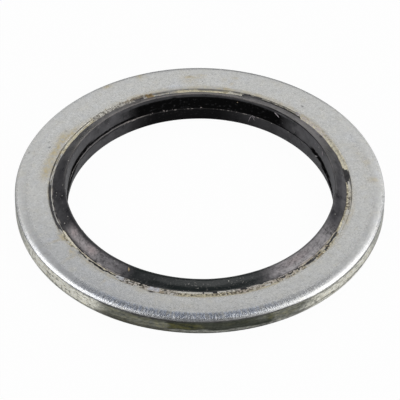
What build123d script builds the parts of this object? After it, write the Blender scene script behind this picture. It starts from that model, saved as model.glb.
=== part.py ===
from build123d import *

import os

# Bonded sealing washer for an M18 or similar thread: a stamped steel ring with a
# rubber bead moulded and bonded into its bore.  The axis is +Z.  z = 0 is the land
# on the lower lip of the bead, which the washer rests on.  Lengths in millimetres.

# ---- driving dimensions -------------------------------------------------------
OUTER_DIA = 26.0            # steel ring, outside
STEEL_BORE_DIA = 20.5       # hole that the bead is bonded into
STEEL_THICKNESS = 1.5       # strip that the ring is stamped from
BEAD_BORE_DIA = 18.7        # clear bore, on the witness ridge halfway up the bead
BEAD_HEIGHT = 2.4           # free height of the bead, from lip to lip

# steel ring: edges of the stamping
DIE_ROLL_REACH = 0.60       # the punch draws the upper outer edge down over this width
DIE_ROLL_DROP = 0.12        # and by this much
UPPER_BREAK = 0.04          # small flat where the die roll meets the sheared wall
LOWER_BREAK = 0.35          # lower outer edge, rounded by tumbling

# steel ring: ledges pressed into both faces where the mould shuts off on the steel
LEDGE_DIA = 21.46           # outside of the ledge
LEDGE_DEPTH = 0.12          # below the face
LEDGE_DRAFT = 0.04          # slope of the ledge's riser, as a width

# rubber bead
FOOT_DIA = 20.72            # the foot laps over the steel's bore edge onto the ledge
FOOT_RISE = 0.07            # height of the foot's own edge above the ledge
LIP_DIA = 18.90             # inner edge of each lip
LIP_LAND = 0.10             # width of the flat on each lip
FLANK_HOLLOW = 0.04         # how far the flank between foot and lip dips below straight
RIDGE_LAND = 0.12           # height of the witness ridge that the mould's split leaves
RIDGE_SIDE = 0.03           # slope of each side of the ridge, as a height and a width

# ---- worked out ---------------------------------------------------------------
outer_r = OUTER_DIA / 2
steel_bore_r = STEEL_BORE_DIA / 2
ledge_r = LEDGE_DIA / 2
riser_r = ledge_r + LEDGE_DRAFT
foot_r = FOOT_DIA / 2
lip_r = LIP_DIA / 2
bead_bore_r = BEAD_BORE_DIA / 2
half_steel = STEEL_THICKNESS / 2
half_bead = BEAD_HEIGHT / 2
ledge_h = half_steel - LEDGE_DEPTH

# Both sections are drawn as (radius, height), with height 0 at mid thickness.


def turned(section):
    """Stand a section up on the XZ plane, turn it once round Z and set the lip on z = 0."""
    return Pos(0, 0, half_bead) * revolve(Plane.XZ * section, Axis.Z)


def make_steel_ring():
    """Stamped ring: die roll above the sheared wall, tumbled edge below, ledged bore."""
    roll_start = (outer_r - DIE_ROLL_REACH, half_steel)
    roll_end = (outer_r - UPPER_BREAK, half_steel - DIE_ROLL_DROP)
    wall_top = (outer_r, half_steel - DIE_ROLL_DROP - UPPER_BREAK)
    wall_foot = (outer_r, -half_steel)
    upper_ledge = [
        (steel_bore_r, ledge_h),
        (ledge_r, ledge_h),
        (riser_r, half_steel),
    ]
    lower_ledge = [(radius, -height) for radius, height in reversed(upper_ledge)]

    section = make_face(
        [
            Polyline(*upper_ledge, roll_start),
            TangentArc(roll_start, roll_end, tangent=(1, 0)),
            Polyline(roll_end, wall_top, wall_foot, *lower_ledge, upper_ledge[0]),
        ]
    )
    foot_corner = section.vertices().sort_by_distance(wall_foot)[0]
    return turned(fillet(foot_corner, LOWER_BREAK))


def make_rubber_seal():
    """Moulded bead: a lip above and below, a hollow flank to each, a ridge between.

    The upper half is drawn from the bond to the ridge, and mirrored for the lower half.
    Its flank is an arc that dips below the straight line from the foot to the lip, and
    its wall leans in from the lip to the ridge that the mould's split leaves.
    """
    foot_edge = (foot_r, ledge_h + FOOT_RISE)
    land_edge = (lip_r + LIP_LAND, half_bead)
    flank_dip = (
        (foot_edge[0] + land_edge[0]) / 2,
        (foot_edge[1] + land_edge[1]) / 2 - FLANK_HOLLOW,
    )
    upper_half = make_face(
        [
            Polyline((steel_bore_r, 0), (steel_bore_r, ledge_h), (foot_r, ledge_h), foot_edge),
            ThreePointArc(foot_edge, flank_dip, land_edge),
            Polyline(
                land_edge,
                (lip_r, half_bead),
                (bead_bore_r + RIDGE_SIDE, RIDGE_LAND / 2 + RIDGE_SIDE),
                (bead_bore_r, RIDGE_LAND / 2),
                (bead_bore_r, 0),
                (steel_bore_r, 0),
            ),
        ]
    )
    return turned(upper_half + mirror(upper_half, about=Plane.XZ))


def main():
    pieces = {
        "steel_ring": make_steel_ring(),
        "rubber_seal": make_rubber_seal(),
    }
    os.makedirs("parts", exist_ok=True)
    for name, solid in pieces.items():
        export_step(solid, f"parts/{name}.step")


main()
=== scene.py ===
"""Dresses a bonded sealing washer: a zinc plated steel ring with a black rubber bead moulded into its bore.

Every piece is a closed surface worked out as whole arrays over a grid of azimuths and section stations.
Azimuths are in degrees, anticlockwise seen from above: 0 is to the right (+X), 90 at the back (+Y) and 270
in front.  Sizes are in millimetres up to the point where a mesh is made, and in metres from there.
"""

import logging
import math
from dataclasses import dataclass
from enum import Enum
from functools import reduce
from typing import Any, Sequence, Union

import bpy
import numpy as np
from mathutils import Matrix, Vector


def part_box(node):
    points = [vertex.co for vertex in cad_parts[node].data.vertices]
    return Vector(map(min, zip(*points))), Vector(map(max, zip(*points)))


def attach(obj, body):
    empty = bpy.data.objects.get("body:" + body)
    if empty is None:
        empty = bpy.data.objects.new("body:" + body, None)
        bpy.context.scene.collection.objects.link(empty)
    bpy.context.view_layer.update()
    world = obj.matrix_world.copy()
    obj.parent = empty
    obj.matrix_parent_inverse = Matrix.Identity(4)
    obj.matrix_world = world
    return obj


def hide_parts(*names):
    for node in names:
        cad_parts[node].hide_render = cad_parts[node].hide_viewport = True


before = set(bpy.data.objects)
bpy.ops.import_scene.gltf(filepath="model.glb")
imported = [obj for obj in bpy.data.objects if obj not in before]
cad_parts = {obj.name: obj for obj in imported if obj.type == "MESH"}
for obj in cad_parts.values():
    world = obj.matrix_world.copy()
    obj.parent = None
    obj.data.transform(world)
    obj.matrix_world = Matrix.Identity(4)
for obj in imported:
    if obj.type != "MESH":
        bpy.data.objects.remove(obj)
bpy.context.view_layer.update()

MM = 0.001
FULL_TURN = 360.0
BODY = "root"
STEEL_SLOT = "zinc_plated_steel"
RUBBER_SLOT = "black_rubber"
IMAGE_SIDE = 400
CAD_MARGIN = 0.005
TINY = 0.001
WHITE = (1.0, 1.0, 1.0)

log = logging.getLogger("washer")

Grid = np.ndarray
Point = Sequence[float]
Colour = tuple[float, float, float]


# ---- plain maths

def ease(value: Grid, low: float, high: float) -> Grid:
    """Eases from 0 at low to 1 at high along 3t^2 - 2t^3, and backwards where high is under low."""
    held = np.clip((value - low) / (high - low), 0.0, 1.0)
    return held * held * (3.0 - 2.0 * held)


def turn_between(azimuth: Grid, other: float) -> Grid:
    """Signed degrees from one azimuth to another, the short way round."""
    return (azimuth - other + FULL_TURN / 2) % FULL_TURN - FULL_TURN / 2


@dataclass(frozen=True)
class Rise:
    """An eased step from 0 at one value to 1 at another, which may lie below it."""

    low: float
    high: float

    def of(self, value: Grid) -> Grid:
        """The eased share at each value."""
        return ease(value, self.low, self.high)


@dataclass(frozen=True)
class RingNoise:
    """Smooth seeded noise that closes on itself round the washer.

    Random values stand at the corners of a lattice of cells round the turn by cells across it, and a point
    blends its four corners with an eased share.  Each layer doubles the cells and halves the height.
    """

    seed: int
    cells_round: int
    cells_per_mm: float
    layers: int = 1
    lattice_rows: int = 61
    turn_row: float = 0.5

    def at(self, azimuth: Grid, across: Grid) -> Grid:
        """Noise at each point.

        Args:
            azimuth: degrees.
            across: millimetres across the washer, along its section.

        Returns:
            Values from about -1 to 1.
        """
        dice = np.random.default_rng(self.seed)
        total = np.zeros(np.broadcast(azimuth, across).shape)
        for layer in range(self.layers):
            cells = self.cells_round * 2 ** layer
            corners = dice.uniform(-1.0, 1.0, (self.lattice_rows, cells))
            x = (azimuth % FULL_TURN) / FULL_TURN * cells + 0.0 * across
            y = across * self.cells_per_mm * 2 ** layer + 0.0 * azimuth
            column, row = np.floor(x).astype(int), np.floor(y).astype(int)
            ease_x, ease_y = ease(x - column, 0.0, 1.0), ease(y - row, 0.0, 1.0)
            row, next_row = row % self.lattice_rows, (row + 1) % self.lattice_rows
            column, next_column = column % cells, (column + 1) % cells
            near = corners[row, column] * (1 - ease_x) + corners[row, next_column] * ease_x
            far = corners[next_row, column] * (1 - ease_x) + corners[next_row, next_column] * ease_x
            total += (near * (1 - ease_y) + far * ease_y) / 2 ** layer
        return total

    def round_turn(self, azimuth: Grid) -> Grid:
        """Noise that changes only round the turn, read at one place across it."""
        return self.at(azimuth, self.turn_row + 0.0 * azimuth)


@dataclass(frozen=True)
class Arc:
    """A stretch of the turn from start to end degrees, whose ends ease over the given blend."""

    start: float
    end: float
    strength: float = 1.0
    blend: float = 2.0

    def cover(self, azimuth: Grid) -> Grid:
        """Strength inside the stretch, easing to 0 outside it by the distance to its nearer end."""
        inside = (self.end - self.start) / 2 - np.abs(turn_between(azimuth, (self.start + self.end) / 2))
        return self.strength * ease(inside, -self.blend / 2, self.blend / 2)


@dataclass(frozen=True)
class Band:
    """A stretch of the turn between two limits across it, a radius or a height, with soft ends and sides."""

    start: float
    end: float
    low: float
    high: float
    strength: float = 1.0
    blend: float = 1.5
    soft: float = 0.04

    def cover(self, azimuth: Grid, across: Grid) -> Grid:
        """Strength inside the band: the stretch's own cover times an ease across each limit.

        Args:
            azimuth: degrees.
            across: the coordinate that the limits are in.

        Returns:
            The cover.
        """
        half = self.soft / 2
        inside = ease(across, self.low - half, self.low + half)
        inside = inside * ease(across, self.high + half, self.high - half)
        return Arc(self.start, self.end, self.strength, self.blend).cover(azimuth) * inside


@dataclass(frozen=True)
class Spot:
    """A soft oval mark: its azimuth and place across, then its half lengths round and across, in mm."""

    azimuth: float
    across: float
    round_mm: float
    across_mm: float
    strength: float = 1.0
    mean_radius: float = 11.0

    def cover(self, azimuth: Grid, across: Grid) -> Grid:
        """Strength times exp(-d^2), where d is the distance from the middle in half lengths.

        Args:
            azimuth: degrees.
            across: the coordinate that the place is in.

        Returns:
            The cover.
        """
        round_gap = np.radians(turn_between(azimuth, self.azimuth)) * self.mean_radius / self.round_mm
        across_gap = (across - self.across) / self.across_mm
        return self.strength * np.exp(-(round_gap ** 2 + across_gap ** 2))


Mark = Union[Band, Spot]


def cover_of(marks: Sequence[Mark], azimuth: Grid, across: Grid) -> Grid:
    """The marks' covers at each azimuth and place across, added up and held between 0 and 1."""
    bare = np.zeros(np.broadcast(azimuth, across).shape)
    return np.clip(sum((mark.cover(azimuth, across) for mark in marks), bare), 0.0, 1.0)


def arcs_cover(arcs: Sequence[Arc], azimuth: Grid) -> Grid:
    """The arcs' covers added up."""
    return sum((arc.cover(azimuth) for arc in arcs), 0.0 * azimuth)


# ---- meshes

def turned(azimuth: Grid, radius: Grid, height: Grid) -> Grid:
    """Points at azimuths, radii and heights: (radius cos a, radius sin a, height) along a last axis."""
    angle = np.radians(azimuth)
    return np.stack([radius * np.cos(angle), radius * np.sin(angle), height], axis=-1)


@dataclass
class Surface:
    """A grid of points that closes round the turn and round the section, with its painted masks.

    Rows run round the turn and columns along the section.  radius, height and every mask are grids of the
    same shape.
    """

    azimuth: Grid
    radius: Grid
    height: Grid
    paint: dict[str, Grid]

    def build(self, name: str) -> bpy.types.Object:
        """Makes the mesh: each point is turned to its azimuth, and each face joins four neighbours, the last
        row and column to the first.

        Args:
            name: the piece's name.

        Returns:
            The object, at the origin, smooth shaded.
        """
        turns, stations = self.radius.shape
        points = turned(self.azimuth, self.radius, self.height) * MM
        index = np.arange(turns * stations).reshape(turns, stations)
        onward = np.roll(index, -1, axis=0)
        faces = np.stack(
            [index, np.roll(index, -1, axis=1), np.roll(onward, -1, axis=1), onward], axis=-1
        ).reshape(-1, 4)
        piece = mesh_object(name, points.reshape(-1, 3), faces)
        for label, values in self.paint.items():
            layer = piece.data.attributes.new(label, "FLOAT", "POINT")
            layer.data.foreach_set("value", values.astype(np.float32).ravel())
        return piece


def mesh_object(name: str, points: Grid, faces: Grid) -> bpy.types.Object:
    """Puts points and faces of one size into a new smooth mesh object.

    Args:
        name: the object's name.
        points: n by 3, in metres.
        faces: m by corners, indices into the points, anticlockwise seen from outside.

    Returns:
        The linked object.
    """
    corners = faces.shape[1]
    mesh = bpy.data.meshes.new(name)
    mesh.vertices.add(len(points))
    mesh.vertices.foreach_set("co", np.ascontiguousarray(points, np.float32).ravel())
    mesh.loops.add(faces.size)
    mesh.loops.foreach_set("vertex_index", np.ascontiguousarray(faces, np.int32).ravel())
    mesh.polygons.add(len(faces))
    mesh.polygons.foreach_set("loop_start", np.arange(0, faces.size, corners, dtype=np.int32))
    mesh.polygons.foreach_set("use_smooth", np.ones(len(faces), bool))
    mesh.update(calc_edges=True)
    mesh.validate()
    made = bpy.data.objects.new(name, mesh)
    bpy.context.scene.collection.objects.link(made)
    return made


def run(start: Point, end: Point, count: int) -> Grid:
    """Radius and height of stations evenly spaced on a straight line, the end left to the next stretch."""
    share = np.arange(count)[:, None] / count
    return np.asarray(start) * (1 - share) + np.asarray(end) * share


def bend(start: Point, corner: Point, end: Point, count: int) -> Grid:
    """Stations that round off a corner: (1-t)^2 start + 2t(1-t) corner + t^2 end, the end itself left out."""
    t = np.arange(count)[:, None] / count
    return (1 - t) ** 2 * np.asarray(start) + 2 * t * (1 - t) * np.asarray(corner) + t ** 2 * np.asarray(end)


def path(start: Point, moves: Sequence[Sequence[Point]], counts: Sequence[int]) -> Grid:
    """Stations along runs and bends that follow one another, the last end left out.

    Args:
        start: radius and height of the first station.
        moves: for each stretch its end, or the corner that it rounds off and its end.
        counts: how many stations each stretch has.

    Returns:
        Radius and height of each station.
    """
    stretches = []
    for move, count in zip(moves, counts):
        stretches.append(run(start, *move, count) if len(move) == 1 else bend(start, *move, count))
        start = move[-1]
    return np.concatenate(stretches)


def length_along(stations: Grid) -> Grid:
    """Millimetres travelled along the section to each station, by adding up the steps between them."""
    steps = np.hypot(*np.diff(stations, axis=0).T)
    return np.concatenate([[0.0], np.cumsum(steps)])


def grid_azimuths(count: int) -> Grid:
    """Azimuths of a grid's rows, evenly spaced round the turn, as a column."""
    return (np.arange(count) * FULL_TURN / count)[:, None]


def spread(stations: Grid, turns: int) -> tuple[Grid, Grid, Grid, Grid]:
    """Repeats a section round the turn.

    Args:
        stations: radius and height of each station.
        turns: how many sections.

    Returns:
        The azimuths as a column, and grids of the radii, the heights and the lengths along the section.
    """
    azimuth = grid_azimuths(turns)
    radius, height, along = (row + 0.0 * azimuth for row in (*stations.T, length_along(stations)))
    return azimuth, radius, height, along


def spindle_faces(rings: int, sides: int) -> Grid:
    """Triangles of a closed body: a pole, rings of points one after another, and a pole at the far end.

    Args:
        rings: how many rings.
        sides: points in a ring, anticlockwise seen from the far pole.

    Returns:
        m by 3 indices, the first pole 0, then the rings, then the far pole.
    """
    here = np.arange(sides)
    onward = (here + 1) % sides
    far = 1 + rings * sides
    last = 1 + (rings - 1) * sides
    caps = [
        np.stack([0 * here, 1 + onward, 1 + here], axis=-1),
        np.stack([0 * here + far, last + here, last + onward], axis=-1),
    ]
    low = (1 + np.arange(rings - 1) * sides)[:, None]
    a, b = low + here, low + onward
    walls = [np.stack([a, b, b + sides], axis=-1), np.stack([a, b + sides, a + sides], axis=-1)]
    return np.concatenate([part.reshape(-1, 3) for part in caps + walls])


def repeated_faces(faces: Grid, copies: int, points_each: int) -> Grid:
    """The same faces for each of several bodies whose points follow one another."""
    return (faces[None] + (np.arange(copies) * points_each)[:, None, None]).reshape(-1, faces.shape[1])


# ---- shader maths

class Socket:
    """A shader value that can be written in an expression, which adds the Math nodes it needs."""

    def __init__(self, graph: "Graph", link: bpy.types.NodeSocket) -> None:
        """Wraps an output socket of a graph."""
        self.graph = graph
        self.link = link

    def __add__(self, other: "Value") -> "Socket":
        """self + other."""
        return self.graph.math("ADD", self, other)

    def __radd__(self, other: "Value") -> "Socket":
        """other + self."""
        return self.graph.math("ADD", other, self)

    def __sub__(self, other: "Value") -> "Socket":
        """self - other."""
        return self.graph.math("SUBTRACT", self, other)

    def __rsub__(self, other: "Value") -> "Socket":
        """other - self."""
        return self.graph.math("SUBTRACT", other, self)

    def __mul__(self, other: "Value") -> "Socket":
        """self * other."""
        return self.graph.math("MULTIPLY", self, other)

    def __rmul__(self, other: "Value") -> "Socket":
        """other * self."""
        return self.graph.math("MULTIPLY", other, self)


Value = Union[Socket, float]


@dataclass(frozen=True)
class Pattern:
    """How fine a noise is: features to a unit of the place, finer layers added, and how strong those are."""

    per_mm: float
    detail: float
    rough: float


@dataclass(frozen=True)
class DrawnPattern:
    """A noise drawn out one way: how narrow its features are round the turn and how short to a millimetre
    along the section, finer layers added, and how strong those are."""

    round_turn: float
    along: float
    detail: float
    rough: float


class Graph:
    """A material's or world's node tree, written as expressions."""

    def __init__(self, tree: bpy.types.NodeTree) -> None:
        """Takes a node tree and empties it."""
        self.tree = tree
        tree.nodes.clear()

    def node(self, kind: str, settings: dict[str, Any], sockets: dict[Any, Any]) -> bpy.types.Node:
        """Adds one node.

        Args:
            kind: the node's type.
            settings: attributes, set before the sockets.
            sockets: values or links by the input's name or number.

        Returns:
            The node.
        """
        made = self.tree.nodes.new(kind)
        for name, value in settings.items():
            setattr(made, name, value)
        for key, value in sockets.items():
            if isinstance(value, Socket):
                self.tree.links.new(value.link, made.inputs[key])
            elif isinstance(value, tuple) and len(value) == 3 and made.inputs[key].type == "RGBA":
                made.inputs[key].default_value = (*value, 1.0)
            else:
                made.inputs[key].default_value = value
        return made

    def output(self, kind: str, settings: dict[str, Any], sockets: dict[Any, Any], name: Any = 0) -> Socket:
        """Adds one node and wraps the output of that name or number."""
        return Socket(self, self.node(kind, settings, sockets).outputs[name])

    def math(self, operation: str, *values: Value) -> Socket:
        """One Math node's result, its inputs given in order."""
        return self.output("ShaderNodeMath", {"operation": operation}, dict(enumerate(values)))

    def held(self, first: Value, second: Value) -> Socket:
        """The product of two values, held between 0 and 1."""
        settings = {"operation": "MULTIPLY", "use_clamp": True}
        return self.output("ShaderNodeMath", settings, {0: first, 1: second})

    def greatest(self, *values: Value) -> Socket:
        """The greatest of several values."""
        return reduce(lambda first, second: self.math("MAXIMUM", first, second), values)

    def vector(self, operation: str, *values: Any) -> Socket:
        """One Vector Math node's result, its inputs given in order."""
        return self.output("ShaderNodeVectorMath", {"operation": operation}, dict(enumerate(values)))

    def mix(self, share: Value, first: Any, second: Any) -> Socket:
        """Blends two colours: a share of 0 gives the first and 1 the second."""
        sockets = {0: share, 6: first, 7: second}
        return self.output("ShaderNodeMix", {"data_type": "RGBA"}, sockets, 2)

    def shade(self, colour: Any, amount: Value) -> Socket:
        """A colour times a value."""
        return self.output("ShaderNodeVectorMath", {"operation": "SCALE"}, {0: colour, "Scale": amount})

    def step(self, value: Value, rise: Rise) -> Socket:
        """Eases a value over a rise with a smoothstep."""
        sockets = {"Value": value, "From Min": rise.low, "From Max": rise.high}
        return self.output("ShaderNodeMapRange", {"interpolation_type": "SMOOTHSTEP"}, sockets)

    def attribute(self, name: str) -> Socket:
        """A painted attribute of the piece."""
        return self.output("ShaderNodeAttribute", {"attribute_name": name}, {}, "Fac")

    def place_mm(self) -> Socket:
        """The point's place on the piece, in millimetres."""
        place = self.output("ShaderNodeTexCoord", {}, {}, "Object")
        return self.shade(place, 1.0 / MM)

    def noise(self, where: Socket, kind: Pattern) -> Socket:
        """Noise of one kind, from 0 to 1, read at a place."""
        sockets = {"Vector": where, "Scale": kind.per_mm, "Detail": kind.detail, "Roughness": kind.rough}
        return self.output("ShaderNodeTexNoise", {}, sockets, "Fac")

    def drawn_noise(self, along: Value, kind: DrawnPattern) -> Socket:
        """Noise that is drawn out along or round the washer and has no seam.  It is read at the unit vector
        from the axis times one number, with the length along the section times another as its third part.

        Args:
            along: length along the section, in millimetres.
            kind: the two numbers and how fine it is.

        Returns:
            The noise value.
        """
        place = self.vector("MULTIPLY", self.place_mm(), (1.0, 1.0, 0.0))
        unit = self.shade(self.vector("NORMALIZE", place), kind.round_turn)
        third = self.output("ShaderNodeCombineXYZ", {}, {"Z": along * kind.along})
        return self.noise(self.vector("ADD", unit, third), Pattern(1.0, kind.detail, kind.rough))

    def bump(self, height: Value, depth_mm: float) -> Socket:
        """Turns a height into a normal, a height of 1 being as deep as is given."""
        sockets = {"Height": height, "Strength": 1.0, "Distance": depth_mm * MM}
        return self.output("ShaderNodeBump", {}, sockets)

    def blend(self, share: Value, first: bpy.types.Node, second: bpy.types.Node) -> bpy.types.Node:
        """Blends two shaders.

        Args:
            share: 0 gives the first and 1 the second.
            first: a shader node.
            second: a shader node.

        Returns:
            The Mix Shader node.
        """
        mixed = self.node("ShaderNodeMixShader", {}, {0: share})
        self.tree.links.new(first.outputs[0], mixed.inputs[1])
        self.tree.links.new(second.outputs[0], mixed.inputs[2])
        return mixed

    def finish(self, shader: bpy.types.Node, kind: str = "ShaderNodeOutputMaterial") -> None:
        """Ends the graph in an output node of one type."""
        end = self.node(kind, {}, {})
        self.tree.links.new(shader.outputs[0], end.inputs["Surface"])


def new_material(name: str) -> tuple[bpy.types.Material, Graph]:
    """An empty material and its graph.

    Args:
        name: the finish's name.

    Returns:
        The material and the graph to write.
    """
    made = bpy.data.materials.new(name)
    made.use_nodes = True
    return made, Graph(made.node_tree)


# ---- finishes

@dataclass(frozen=True)
class ZincFinish:
    """Tumbled zinc plate with its passivation tints, on the painted masks of the steel ring; some masks carry
    painted shade and painted highlights as well.
    """

    plate: Colour = (0.603, 0.603, 0.598)
    # The plate is painted darker over the front left.
    darker_plate: Colour = (0.545, 0.550, 0.560)
    cool_plate: Colour = (0.58, 0.61, 0.69)
    warm_plate: Colour = (0.64, 0.60, 0.49)
    wall_plate: Colour = (0.60, 0.60, 0.54)
    # Bright cream wall: partly worn plate, partly a painted reflection of the lit floor beside the washer.
    worn_and_lit_wall: Colour = (0.98, 0.955, 0.82)
    tan_wall: Colour = (0.62, 0.57, 0.41)
    # Dark olive on the wall: olive passivation, and painted shade for the dark that the front wall mirrors.
    olive_and_shade: Colour = (0.060, 0.066, 0.050)
    olive_green: Colour = (0.130, 0.125, 0.052)
    # Bluish dark over the front of the die roll, with darker streaks: painted dark reflection of the dim
    # surround above.
    blue_shade_tint: Colour = (0.50, 0.55, 0.66)
    stain_tint: Colour = (0.60, 0.51, 0.32)
    # Near-black for dirt specks and for painted shade in the ledge's corner, in the gaps beside the bead, and
    # along the wall's edges.
    grime_and_shade_tint: Colour = (0.020, 0.017, 0.014)
    pit_tint: Colour = (0.22, 0.20, 0.16)
    # Light tint for painted highlights: glints on the die roll and a bright nick.
    glint_tint: Colour = (0.86, 0.87, 0.88)
    # Light bonding agent over the riser, made light enough to cover its shade, and the painted highlight just
    # outside it.
    crust_and_highlight_tint: Colour = (0.93, 0.88, 0.75)
    roughness: float = 0.25
    relief_mm: float = 0.005
    cloud: Pattern = Pattern(1.4, 3.0, 0.6)
    mottle: Pattern = Pattern(3.0, 4.0, 0.65)
    grain: Pattern = Pattern(9.0, 2.0, 0.75)
    pitting: Pattern = Pattern(5.5, 2.0, 0.7)
    streaks: DrawnPattern = DrawnPattern(120.0, 1.6, 3.0, 0.7)
    flecks: DrawnPattern = DrawnPattern(150.0, 3.0, 2.0, 0.6)
    drawn: DrawnPattern = DrawnPattern(8.0, 9.0, 4.0, 0.65)
    scuffs: DrawnPattern = DrawnPattern(46.0, 6.0, 4.0, 0.7)
    pit_rise: Rise = Rise(0.70, 0.80)
    green_rise: Rise = Rise(0.40, 0.56)
    worn_and_lit_rise: Rise = Rise(0.25, 0.50)
    tan_rise: Rise = Rise(0.53, 0.62)
    cool_rise: Rise = Rise(0.52, 0.70)
    warm_rise: Rise = Rise(0.46, 0.30)
    blue_rise: Rise = Rise(0.40, 0.56)
    blue_gaps: Rise = Rise(0.46, 0.32)
    stain_rise: Rise = Rise(0.28, 0.60)
    grime_and_shade_rise: Rise = Rise(0.15, 0.45)
    glint_rise: Rise = Rise(0.52, 0.64)
    crust_rise: Rise = Rise(0.30, 0.52)
    bare_roll: Rise = Rise(0.12, 0.0)

    def wall_colour(self, g: Graph, mottle: Socket, drawn: Socket, scuffs: Socket, worn_and_lit: Socket) -> Socket:
        """The sheared wall: scuffed plate, worn bright with a painted reflection of the lit floor in places
        and tan in places, under dark olive passivation that also carries painted shade over the front.

        Args:
            g: the graph that is written.
            mottle: mottling all over.
            drawn: lines drawn round the wall.
            scuffs: shorter scuffs.
            worn_and_lit: how far the wall is worn bright and lit by a painted reflection of the lit floor.

        Returns:
            The colour.
        """
        green = g.attribute("green") * g.step(0.5 * drawn + 0.5 * mottle, self.green_rise)
        olive_and_shade = g.mix(green, self.olive_and_shade, self.olive_green)
        olive_and_shade = g.shade(olive_and_shade, 0.15 + 1.4 * (drawn - 0.5) + 1.9 * scuffs)
        bare = g.mix(worn_and_lit, self.wall_plate, self.worn_and_lit_wall)
        bare = g.mix(0.7 * g.step(0.5 * mottle + 0.5 * drawn, self.tan_rise), bare, self.tan_wall)
        bare = g.shade(bare, 1.08 + 1.8 * (drawn - 0.5) + 2.8 * (scuffs - 0.5))
        return g.mix(g.attribute("olive_and_shade"), bare, olive_and_shade)

    def material(self) -> bpy.types.Material:
        """Writes the finish.

        Returns:
            The material.
        """
        made, g = new_material("zinc_plate")
        place, along = g.place_mm(), g.attribute("along")
        wall, roll, blue_shade, stain = map(g.attribute, ("wall", "roll", "blue_shade", "stain"))
        cloud, mottle, grain, pitting = (
            g.noise(place, kind) for kind in (self.cloud, self.mottle, self.grain, self.pitting)
        )
        streaks, flecks, drawn, scuffs = (
            g.drawn_noise(along, kind) for kind in (self.streaks, self.flecks, self.drawn, self.scuffs)
        )
        pits = g.step(pitting, self.pit_rise)
        worn_and_lit = g.attribute("worn_and_lit") * g.step(scuffs, self.worn_and_lit_rise)
        # The next three masks carry painted shade as well as dirt, and painted highlights as well as crust.
        grime_and_shade = g.held(g.attribute("grime_and_shade"), g.step(grain, self.grime_and_shade_rise))
        bright = g.held(g.attribute("glint"), g.step(flecks, self.glint_rise))
        crust_and_highlight = g.held(g.attribute("crust_and_highlight"), g.step(grain, self.crust_rise))

        colour = g.mix(g.attribute("tone"), self.plate, self.darker_plate)
        cool = g.greatest(0.5 * g.attribute("cool"), 0.16 * g.step(cloud, self.cool_rise))
        colour = g.mix(cool, colour, self.cool_plate)
        colour = g.mix(0.18 * g.step(cloud, self.warm_rise), colour, self.warm_plate)
        colour = g.mix(blue_shade * g.step(streaks, self.blue_rise), colour, self.blue_shade_tint)
        colour = g.shade(colour, 1.0 - 0.45 * blue_shade * g.step(flecks, self.blue_gaps))
        colour = g.mix(wall, colour, self.wall_colour(g, mottle, drawn, scuffs, worn_and_lit))
        colour = g.mix(stain * g.step(mottle, self.stain_rise), colour, self.stain_tint)
        colour = g.shade(colour, 1.0 + 0.42 * (mottle - 0.5) + 0.70 * (grain - 0.5))
        colour = g.mix(0.5 * pits, colour, self.pit_tint)
        colour = g.mix(grime_and_shade, colour, self.grime_and_shade_tint)
        colour = g.mix(bright, colour, self.glint_tint)
        colour = g.mix(crust_and_highlight, colour, g.shade(self.crust_and_highlight_tint, 0.45 + 1.1 * mottle))

        rough = self.roughness + 0.10 * (mottle - 0.5) + 0.12 * stain
        rough = rough + 0.30 * g.attribute("grime_and_shade") + 0.12 * wall
        rough = rough + 0.05 * roll * g.step(blue_shade, self.bare_roll)
        height = 0.5 * mottle + 0.5 * grain - 0.6 * pits + 2.6 * roll * streaks + 1.4 * wall * drawn
        film = g.greatest(0.30 * stain, 0.95 * grime_and_shade, 0.75 * bright, 0.9 * crust_and_highlight, 0.72 * wall * worn_and_lit)
        g.finish(g.node("ShaderNodeBsdfPrincipled", {}, {
            "Base Color": colour,
            "Metallic": 1.0 - film,
            "Roughness": rough,
            "Normal": g.bump(height, self.relief_mm),
        }))
        return made


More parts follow.
